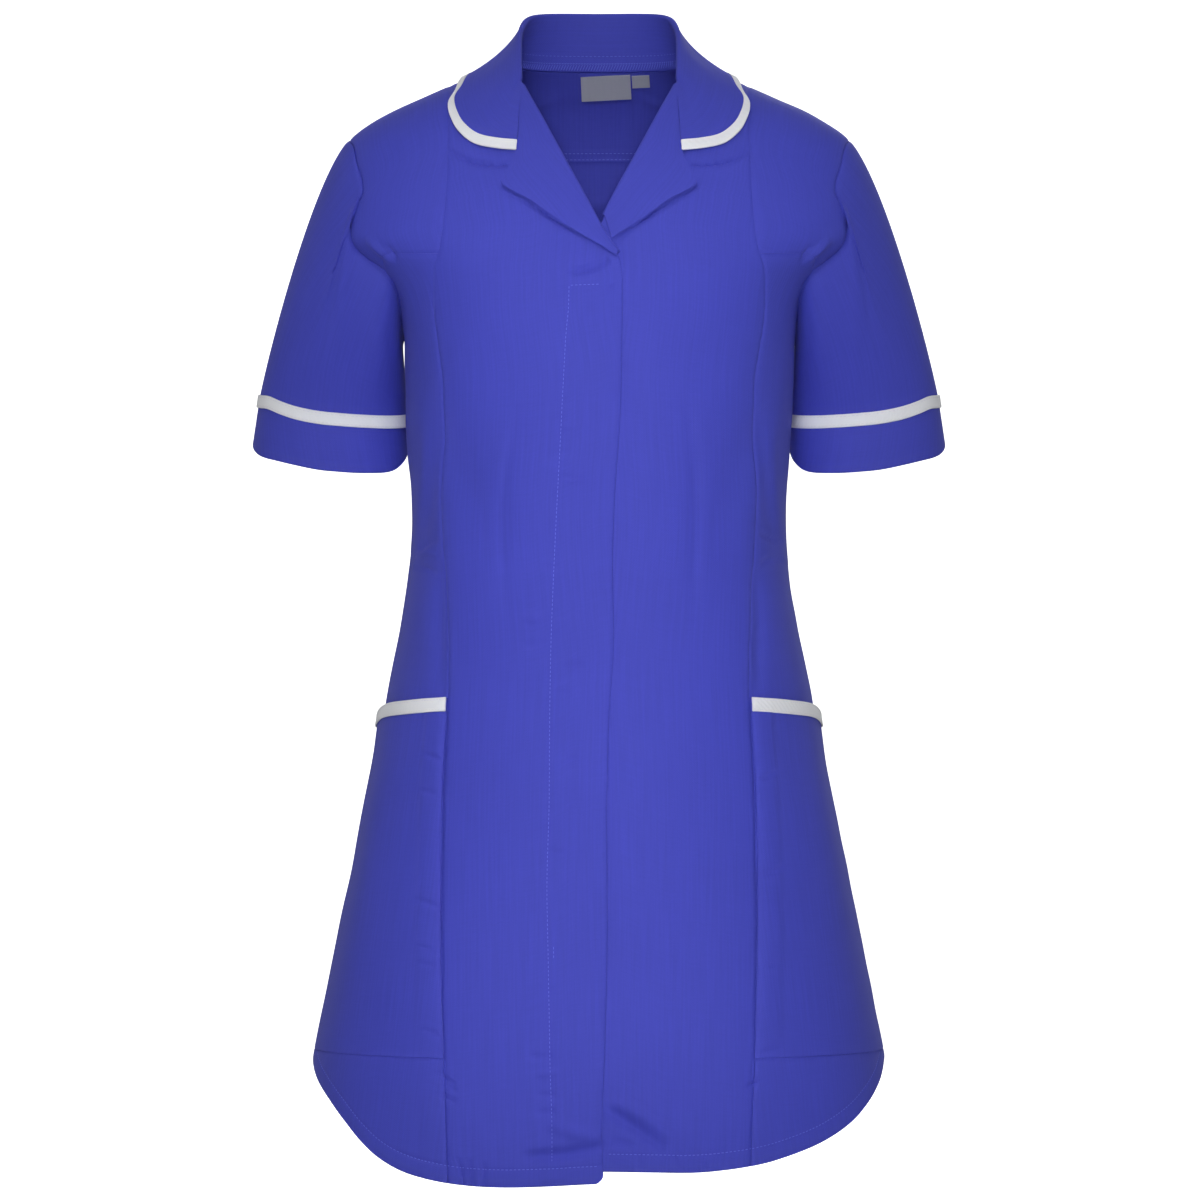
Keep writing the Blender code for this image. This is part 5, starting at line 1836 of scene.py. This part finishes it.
@dataclass
class Collar:
    """The collar's stand and fall in one folded wall, and its binding."""

    fold_inside: float = 0.0010
    neck_gap: float = 0.0005
    lift: float = 0.0032
    gorge_stand: float = 0.0004
    binding_width: float = 0.008
    binding_thickness: float = 0.0018
    spans: int = 96
    stand_rows: int = 16
    allowance: float = 0.0065
    turn_rows: int = 8
    fall_rows: int = 22
    bound_rows: int = 5
    allowance_rise: float = 0.0004
    stand_rise: float = 0.00025
    nape_start: int = 34  # sections at each end that the rows of stitches at the nape leave out

    def rows(self) -> Array:
        """The table's rows, read finely along the collar's outer edge.

        Returns:
            A row of the six columns of COLLAR for each section.
        """
        table = np.array(COLLAR)
        edge = on_form(table[:, 4], table[:, 5])
        knots = lengths(edge)
        return table_at(knots, table, np.linspace(0, knots[-1], self.spans + 1))

    def frame(self, row: Array) -> tuple[Array, Array, Array, float]:
        """Where the collar stands at one row, the ways up its stand and out of its fold, its height.

        Args:
            row: one row of the table.

        Returns:
            The point on the neck edge, the ways up and out, and the stand's height.
        """
        neck_angle = row[0]
        neck = on_form(neck_angle, neck_height(neck_angle))
        fold = row[1:4]
        normal = form_normal(neck_angle, neck_height(neck_angle))
        upward = unit(fold - self.fold_inside * normal - neck)
        outward = unit(normal - (normal @ upward) * upward)
        blend_in = float(ease((neck_angle - NECK[0][0]) / 7.0))
        _, roll_up, roll_out = roll_frame(GORGE)
        upward = unit(blend_in * upward + (1 - blend_in) * roll_up)
        outward = unit(blend_in * outward + (1 - blend_in) * roll_out)
        outward = unit(outward - (outward @ upward) * upward)
        stand = (fold - neck) @ upward - self.neck_gap - self.fold_inside - CLOTH
        stand = blend_in * stand + (1 - blend_in) * self.gorge_stand
        return neck, upward, outward, max(stand, self.gorge_stand)

    def section(self, row: Array, along: Array) -> tuple[list[Array], list[Array], Array]:
        """Seen and hidden points of the collar at one row, and the shares of its fall.

        The fall leaves the fold and lands on its edge along the body, as one cubic curve.

        Args:
            row: one row of the table.
            along: the way along the collar there.

        Returns:
            Seen and hidden points of stand, fold and fall, and the ways under the fall.
        """
        neck, upward, outward, stand = self.frame(row)
        foot = neck + self.neck_gap * upward
        rise = np.linspace(0, 1, self.stand_rows + 1)[:-1, None] * stand
        stand_hidden = foot + rise * upward
        full = self.allowance_rise * ease((self.allowance - rise) / 0.0012)
        full = full + self.stand_rise * np.sin(np.clip(rise / 0.011, 0, 1) * math.pi)
        full = float(ease(stand / 0.02)) * full
        fold_seen, fold_hidden = turned_edge(
            foot + stand * upward, upward, outward, self.fold_inside, self.turn_rows
        )
        start, end = fold_seen[-1], on_form(row[4], row[5], self.lift)
        normal = form_normal(row[4], row[5])
        reach = end - start
        third = np.linalg.norm(reach) / 3
        leave = unit(reach - (reach @ outward) * outward)
        inward = -unit(reach - (reach @ normal) * normal)
        bound = 1 - self.binding_width / np.linalg.norm(reach)
        fallen = np.linspace(0, bound - SEAM / np.linalg.norm(reach), self.fall_rows + 1)[1:]
        t = np.concatenate([fallen, np.linspace(bound, 1, self.bound_rows + 1)])[:, None]
        pull, push = start + third * leave, end + third * inward
        fall = (1 - t) ** 3 * start + t**3 * end
        fall = fall + 3 * t * (1 - t) ** 2 * pull + 3 * t * t * (1 - t) * push
        slope = (1 - t) ** 2 * (pull - start) + 2 * t * (1 - t) * (push - pull) + t * t * (end - push)
        under = unit(np.cross(unit(slope), along))
        under = under * np.sign(-(under @ outward))[:, None]
        seen = [stand_hidden - (CLOTH + full) * outward, fold_seen, fall]
        hidden = [stand_hidden, fold_hidden, fall + CLOTH * under]
        return seen, hidden, under

    def sections(self) -> list[tuple[list[Array], list[Array], Array]]:
        """All sections from the gorge to the centre back.

        Returns:
            What section gives for each row.
        """
        rows = self.rows()
        middle = (on_form(rows[:, 4], rows[:, 5]) + rows[:, 1:4]) / 2
        along = unit(np.gradient(middle, axis=0))
        along[-1] = (-1, 0, 0)
        return [self.section(row, direction) for row, direction in zip(rows, along)]

    def build(self) -> None:
        """Make and dress the collar and its binding, mirrored at the centre back."""
        raised = (self.binding_thickness - CLOTH) / 2
        cut = self.fall_rows
        faces: list[list[Array]] = [[], [], [], []]
        for seen, hidden, under in self.sections():
            faces[0].append(np.concatenate([*seen[:2], seen[2][:cut]]))
            faces[1].append(np.concatenate([*hidden[:2], hidden[2][:cut]]))
            faces[2].append(seen[2][cut:] - raised * under[cut:])
            faces[3].append(hidden[2][cut:] + raised * under[cut:])
        whole = [np.array(face) for face in faces]
        whole = [np.concatenate([half, half[-2::-1] * (-1, 1, 1)]) for half in whole]
        seen, hidden = drawn_in(whole[:2], (Rim.TOP, Rim.BOTTOM), SEAM)
        piece = shell("collar_cloth", seen, hidden)
        inside = slice(self.nape_start, len(seen) - self.nape_start)
        stand = seen[inside, : self.stand_rows], hidden[inside, : self.stand_rows]
        looped, edged, sewn = ([line_on(*stand, Rim.FIRST, distance)] for distance in NAPE_ROWS)
        loops = {"pitch": 0.0021, "length": 0.0062, "radius": 0.00022, "slant": 1.15}
        edge = {"pitch": 0.0021, "length": 0.0024, "slant": 0.25}
        sewing = [
            Sewing("overlock", "blue_thread", looped, **loops),
            Sewing("overlock_edge", "blue_thread", edged, **edge),
            Sewing("stitches", "blue_thread", sewn, radius=0.0002),
        ]
        WARDROBE.dress(piece, "blue_cloth", sewing=sewing)
        seen, hidden = drawn_in(whole[2:], (Rim.TOP, Rim.BOTTOM), 2 * SEAM)
        piece = shell("collar_binding_cloth", seen, hidden, soft=(Rim.LAST,))
        WARDROBE.dress(piece, "white_trim")


def roll_frame(height: float, dip: float = 0.0, step: float = 0.004) -> tuple[Array, Array, Array]:
    """Point of the roll line, the way across it towards the centre, and the form's normal.

    Args:
        height: height on the roll line.
        dip: lift of the point.
        step: half the step of the slope along the line.

    Returns:
        The point and the two ways.
    """
    top = min(height + step, GORGE)
    low, high = (on_form(front_edge(np.array(at)), at) for at in (height - step, top))
    angle = float(front_edge(np.array(height)))
    normal = form_normal(angle, height)
    return on_form(angle, height, dip), unit(np.cross(normal, high - low)), normal


@dataclass
class Lapel:
    """One turned-back lapel, from its roll line to its outer edge."""

    side: Side
    collar: Collar
    spans: int = 70
    upper_spans: int = 16
    turn_rows: int = 8
    flat_rows: int = 26
    tip: int = 2  # row of LAPEL that is its tip
    covered_from: int = 7  # row of LAPEL from which the right lapel covers the left one
    covered_end: tuple[float, float, float] = (-0.1110, 0.0094, -0.1270)

    def rows(self) -> Array:
        """The table's rows, read finely down the roll line, without the very tip.

        Returns:
            A row of the three columns of LAPEL for each section.
        """
        table = np.array(LAPEL)
        if self.side is Side.LEFT:
            table = np.concatenate([table[: self.covered_from], [self.covered_end]])
        upper = through(table[: self.tip + 1], self.upper_spans)
        lower = through(table[self.tip :], self.spans - self.upper_spans)
        return np.concatenate([upper[:-1], lower[1:]])

    def section(self, row: Array) -> list[Array]:
        """Seen and hidden points of one row: half a turn at the roll line, then flat on the front.

        Args:
            row: one row of the table.

        Returns:
            The seen and the hidden points.
        """
        roll_height, edge_x, edge_height = row
        angle = float(front_edge(np.array(roll_height)))
        dip = 0.0
        if self.side is Side.LEFT:
            dip = float(overlap_dip(np.array(angle), np.array(roll_height)))
        place, forward, normal = roll_frame(roll_height, dip)
        roll_x = float(smooth(FRONT_EDGE, 1, roll_height))
        inside = self.collar.fold_inside
        turn = turned_edge(place + SEAM * forward, forward, normal, inside, self.turn_rows)
        shares = np.linspace(0, 1, self.flat_rows + 1)[1:]
        height = roll_height + shares * (edge_height - roll_height)
        angle = front_angle(roll_x + shares * (edge_x - roll_x), height)
        lift = 2 * inside + CLOTH + dip
        flat = [on_form(angle, height, lift), on_form(angle, height, lift - CLOTH)]
        return [np.concatenate(pair) for pair in zip(turn, flat)]

    def build(self) -> None:
        """Make and dress the lapel."""
        sections = [self.section(row) for row in self.rows()]
        seen, hidden = (np.array([section[face] for section in sections]) for face in (0, 1))
        piece = shell(f"lapel_{self.side.word}_cloth", seen, hidden, self.side, soft=(Rim.LAST,))
        WARDROBE.dress(piece, "blue_cloth")


@dataclass
class Sleeve:
    """A set-in sleeve with its turned-up cuff and the trim over their seam."""

    side: Side
    centre: Pair = (0.1997, 0.0400)
    half: Pair = (0.0562, 0.0480)
    hem_centre: Pair = (0.2022, 0.0400)
    hem_half: Pair = (0.0592, 0.0490)
    leave_top: tuple[float, float, float] = (0.66, 0.00, -0.75)
    leave_front: tuple[float, float, float] = (0.36, -0.20, -0.91)
    leave_foot: tuple[float, float, float] = (0.02, 0.30, -0.95)
    leave_back: tuple[float, float, float] = (0.36, 0.26, -0.90)
    pull_top: float = 0.130
    pull_foot: float = 0.055
    pull_cuff: float = 0.060
    trim_width: float = 0.0088
    spans: int = 72
    around: int = 84
    length: float = 0.2  # length over which SLEEVE_CREASES are placed
    tuck: Pair = (0.0018, 0.0024)  # how far the allowance runs on, and how deep it lies
    cuff_rows: int = 18
    trim_rows: int = 6

    def ring(self) -> Array:
        """Places of the armhole, from the shoulder seam down the front, under and up the back.

        Returns:
            The places, in order.
        """
        front = edge_run(armhole_front, SHOULDER_TIP, ARMHOLE_FOOT, self.around)
        back = edge_run(armhole_back, SHOULDER_TIP, ARMHOLE_FOOT, self.around)[::-1]
        return np.concatenate([front, back[1:-1]])

    def oval(self, centre: Pair, half: Pair, turn: Array, height: Array) -> Array:
        """Points of a superellipse ring whose height changes round it.

        Args:
            centre: middle in x and y.
            half: half its size in x and y.
            turn: turn of each point.
            height: height of each point.

        Returns:
            The points.
        """
        x = centre[0] + half[0] * signed_power(np.cos(turn), 2 / ROUNDNESS)
        y = centre[1] - half[1] * signed_power(np.sin(turn), 2 / ROUNDNESS)
        return np.stack([x, y, height], axis=-1)

    def leaving(self, turn: Array) -> Array:
        """Direction of the sleeve at the armhole, as a blend of the four named ones.

        Args:
            turn: turn of each armhole point.

        Returns:
            Unit vectors.
        """
        up, fore = np.cos(turn)[:, None], np.sin(turn)[:, None]
        mixed = up**2 * np.where(up > 0, self.leave_top, self.leave_foot)
        return unit(mixed + fore**2 * np.where(fore > 0, self.leave_front, self.leave_back))

    def build(self) -> None:
        """Make and dress the sleeve, the cuff and the trim.

        The sleeve is a cubic from each armhole point to the cuff's seam, whose pull is longest
        over the shoulder. Its seam allowance turns in under the body's edge.
        """
        word = self.side.word
        places = self.ring()
        ring = on_form(places[:, 0], places[:, 1])
        run = lengths(ring)
        total = run[-1] + np.linalg.norm(ring[0] - ring[-1])
        foot = self.around
        rising = 180 + 180 * (run - run[foot]) / (total - run[foot])
        degrees = np.where(run <= run[foot], 180 * run / run[foot], rising)
        turn = np.radians(degrees)
        leave = self.leaving(turn)
        normal = form_normal(places[:, 0], places[:, 1])
        away = unit(np.cross(normal, np.roll(ring, -1, axis=0) - np.roll(ring, 1, axis=0)))
        start = ring + 1.5 * SEAM * away + SEAM * normal
        trim_ring = self.oval(self.centre, self.half, turn, smooth(CUFF, 1, degrees))
        hem_ring = self.oval(self.hem_centre, self.hem_half, turn, smooth(CUFF, 2, degrees))
        down = unit(hem_ring - trim_ring)
        seam_ring = trim_ring + self.trim_width / 2 * down
        mean, swing = (self.pull_top + self.pull_foot) / 2, (self.pull_top - self.pull_foot) / 2
        pull = (mean + swing * np.cos(turn))[:, None]
        t = np.linspace(0, 1, self.spans + 1)[:, None, None]
        sleeve = (
            start * (1 + 2 * t) * (1 - t) ** 2
            + pull * leave * t * (1 - t) ** 2
            + seam_ring * t * t * (3 - 2 * t)
            - self.pull_cuff * down * t * t * (1 - t)
        )
        outward = grid_normals(sleeve, ring=True)
        creases = [row[1:] for row in SLEEVE_CREASES if row[0] in (0, self.side.value)]
        across, along = np.broadcast_arrays(degrees * MILLIMETRE, self.length * t[..., 0])
        lift = pressed(across, along, creases) + seamed(sleeve, (Rim.TOP,), 0.0006)
        sleeve = sleeve + lift[..., None] * outward
        below = ring - self.tuck[1] * normal
        tuck = [below - self.tuck[0] * away, below + 1.5 * SEAM * away]
        under = [tuck[0] - CLOTH * normal, tuck[1] + CLOTH * (away - normal)]
        seen = np.concatenate([tuck, sleeve])
        hidden = np.concatenate([under, sleeve - CLOTH * outward])
        piece = shell(f"sleeve_{word}_cloth", seen, hidden, self.side, ring=True)
        WARDROBE.dress(piece, "blue_cloth")
        self.build_cuff(seam_ring, hem_ring, down, outward[-1])

    def build_cuff(self, seam_ring: Array, hem_ring: Array, down: Array, outward: Array) -> None:
        """Make and dress the cuff below the seam and the trim over it.

        Args:
            seam_ring: ring of the cuff's seam.
            hem_ring: ring of the hem.
            down: the ways from one to the other.
            outward: the ways out of the sleeve.
        """
        word = self.side.word
        share = np.linspace(0, 1, self.cuff_rows + 1)[:, None, None]
        cuff = (1 - share) * (seam_ring + SEAM * down) + share * hem_ring
        faces = cuff, cuff - CLOTH * outward
        piece = shell(f"cuff_{word}_cloth", *faces, self.side, ring=True, soft=(Rim.BOTTOM,))
        WARDROBE.dress(piece, "blue_cloth")
        share = np.linspace(-0.5, 0.5, self.trim_rows + 1)[:, None, None]
        band = seam_ring + share * self.trim_width * down + REST_GAP * outward
        faces = band + CLOTH * outward, band
        piece = shell(f"cuff_trim_{word}_cloth", *faces, self.side, ring=True, soft=(Rim.TOP, Rim.BOTTOM))
        paths = [line_on(*faces, edge, TRIM_STITCH) for edge in (Rim.TOP, Rim.BOTTOM)]
        sewing = [Sewing("stitches", "white_thread", paths, self.side, radius=TRIM_THREAD)]
        WARDROBE.dress(piece, "white_trim", sewing=sewing)


@dataclass
class Label:
    """A bare woven label, flat against the inside of the back below the neck seam."""

    name: str
    left: float
    right: float
    top: float
    bottom: float
    tilt: float = 0.048
    lift: float = -0.0024
    thickness: float = 0.0010
    columns: int = 24
    rows: int = 12

    def build(self) -> None:
        """Make and dress the label."""
        x = np.linspace(self.left, self.right, self.columns + 1)[None, :]
        height = np.linspace(self.top, self.bottom, self.rows + 1)[:, None]
        middle = (self.left + self.right) / 2, (self.top + self.bottom) / 2
        x, height = (
            x + self.tilt * (middle[1] - height),
            height + self.tilt * (x - middle[0]),
        )
        angle = 180 - front_angle(x, height)
        chart = np.stack([angle, height + 0 * angle], axis=-1)
        seen, hidden = lifted(chart, self.lift, self.thickness)
        piece = shell(f"{self.name}_cloth", seen, hidden)
        WARDROBE.dress(piece, "label_weave")


# ---- the studio ------------------------------------------------------------------------------------
@dataclass
class Studio:
    """The floor and backdrop, the soft lights and the camera."""

    camera_place: tuple[float, float, float] = (0.00075, -6.0, -0.394)
    lens: float = 240.0
    floor_height: float = -0.95
    middle_height: float = -0.42

    def sweep(self) -> None:
        """Pale floor that curves up into a backdrop behind the tunic."""
        half, reach, wall, radius = 12.0, 12.0, 10.0, 1.5
        turn = np.linspace(0, math.pi / 2, 17)
        y = np.concatenate([[-reach], wall - radius + radius * np.sin(turn), [wall]])
        z = np.concatenate([[0.0], radius - radius * np.cos(turn), [9.0]]) + self.floor_height
        points = np.array([[(side * half, *pair) for pair in zip(y, z)] for side in (-1, 1)])
        count = len(y)
        numbers = np.arange(2 * count).reshape(2, count)
        quads = np.stack([numbers[0, :-1], numbers[1, :-1], numbers[1, 1:], numbers[0, 1:]], axis=-1)
        floor = mesh_object("floor", points.reshape(-1, 3), quads)
        nodes = Nodes("pale_floor")
        where = nodes.add("ShaderNodeTexCoord", out=3)
        cloud = nodes.add("ShaderNodeTexNoise", {}, {"Vector": where, "Scale": 1.5})
        white = (1.0, 1.0, 1.0, 1.0)
        looks = {"Base Color": (0.9, 0.9, 0.9, 1.0), "Roughness": cloud * 0.1 + 0.85}
        looks |= {"Emission Color": white, "Emission Strength": 1.0}
        shader = nodes.add("ShaderNodeBsdfPrincipled", {}, looks)
        nodes.add("ShaderNodeOutputMaterial", {}, {"Surface": shader})
        floor.data.materials.append(nodes.material)
        floor.visible_diffuse = floor.visible_glossy = False

    def light(
        self,
        name: str,
        place: tuple[float, float, float],
        size: Pair,
        power: float,
        spread: float = 180.0,
    ) -> None:
        """Soft light that looks at the middle of the tunic.

        Args:
            name: the light's name.
            place: where it stands.
            size: its width and height.
            power: its watts.
            spread: the angle of its beam, in degrees.
        """
        lamp = bpy.data.lights.new(name, "AREA")
        lamp.shape = "RECTANGLE"
        lamp.size, lamp.size_y = size
        lamp.energy, lamp.spread = power, math.radians(spread)
        made = bpy.data.objects.new(name, lamp)
        made.location = place
        aim = np.array((0.0, 0.0, self.middle_height)) - np.array(place)
        yaw = math.atan2(aim[1], aim[0]) - math.pi / 2
        pitch = math.atan2(aim[2], math.hypot(aim[0], aim[1]))
        made.rotation_euler = (math.pi / 2 + pitch, 0.0, yaw)
        bpy.context.scene.collection.objects.link(made)

    def build(self) -> None:
        """Set up the stage, lights, world and camera."""
        self.sweep()
        self.light("front_softbox", (0.0, -2.4, -0.18), (0.9, 0.9), 3.5)
        self.light("front_beam", (0.0, -2.4, -0.50), (0.40, 0.80), 0.42, 9.0)
        self.light("high_softbox", (-0.2, -2.7, 1.5), (0.9, 0.9), 27.0)
        self.light("back_softbox", (0.4, 3.0, 0.9), (1.6, 1.6), 30.0)
        world = bpy.data.worlds.new("studio")
        world.use_nodes = True
        world.node_tree.nodes["Background"].inputs["Color"].default_value = (1.0, 1.0, 1.0, 1.0)
        world.node_tree.nodes["Background"].inputs["Strength"].default_value = 0.39
        scene = bpy.context.scene
        scene.world = world
        scene.view_settings.view_transform = "Standard"
        camera = bpy.data.cameras.new("camera")
        camera.lens, camera.sensor_width = self.lens, 36.0
        made = bpy.data.objects.new("camera", camera)
        made.location = self.camera_place
        made.rotation_euler = (math.pi / 2, 0.0, 0.0)
        scene.collection.objects.link(made)
        scene.camera = made


def main() -> None:
    """Build the tunic's pieces in order, then the studio."""
    logging.basicConfig(level=logging.INFO, format="%(message)s")
    for side in Side:
        Front(side).build()
        SideFront(side).build()
        Sleeve(side).build()
    Back().build()
    collar = Collar()
    collar.build()
    for side in Side:
        Lapel(side, collar).build()
    Label("label_main", -0.0136, 0.0243, 0.0040, -0.0134).build()
    Label("label_size", 0.0254, 0.0388, 0.0044, -0.0042).build()
    Studio().build()


if __name__ == "__main__":
    main()
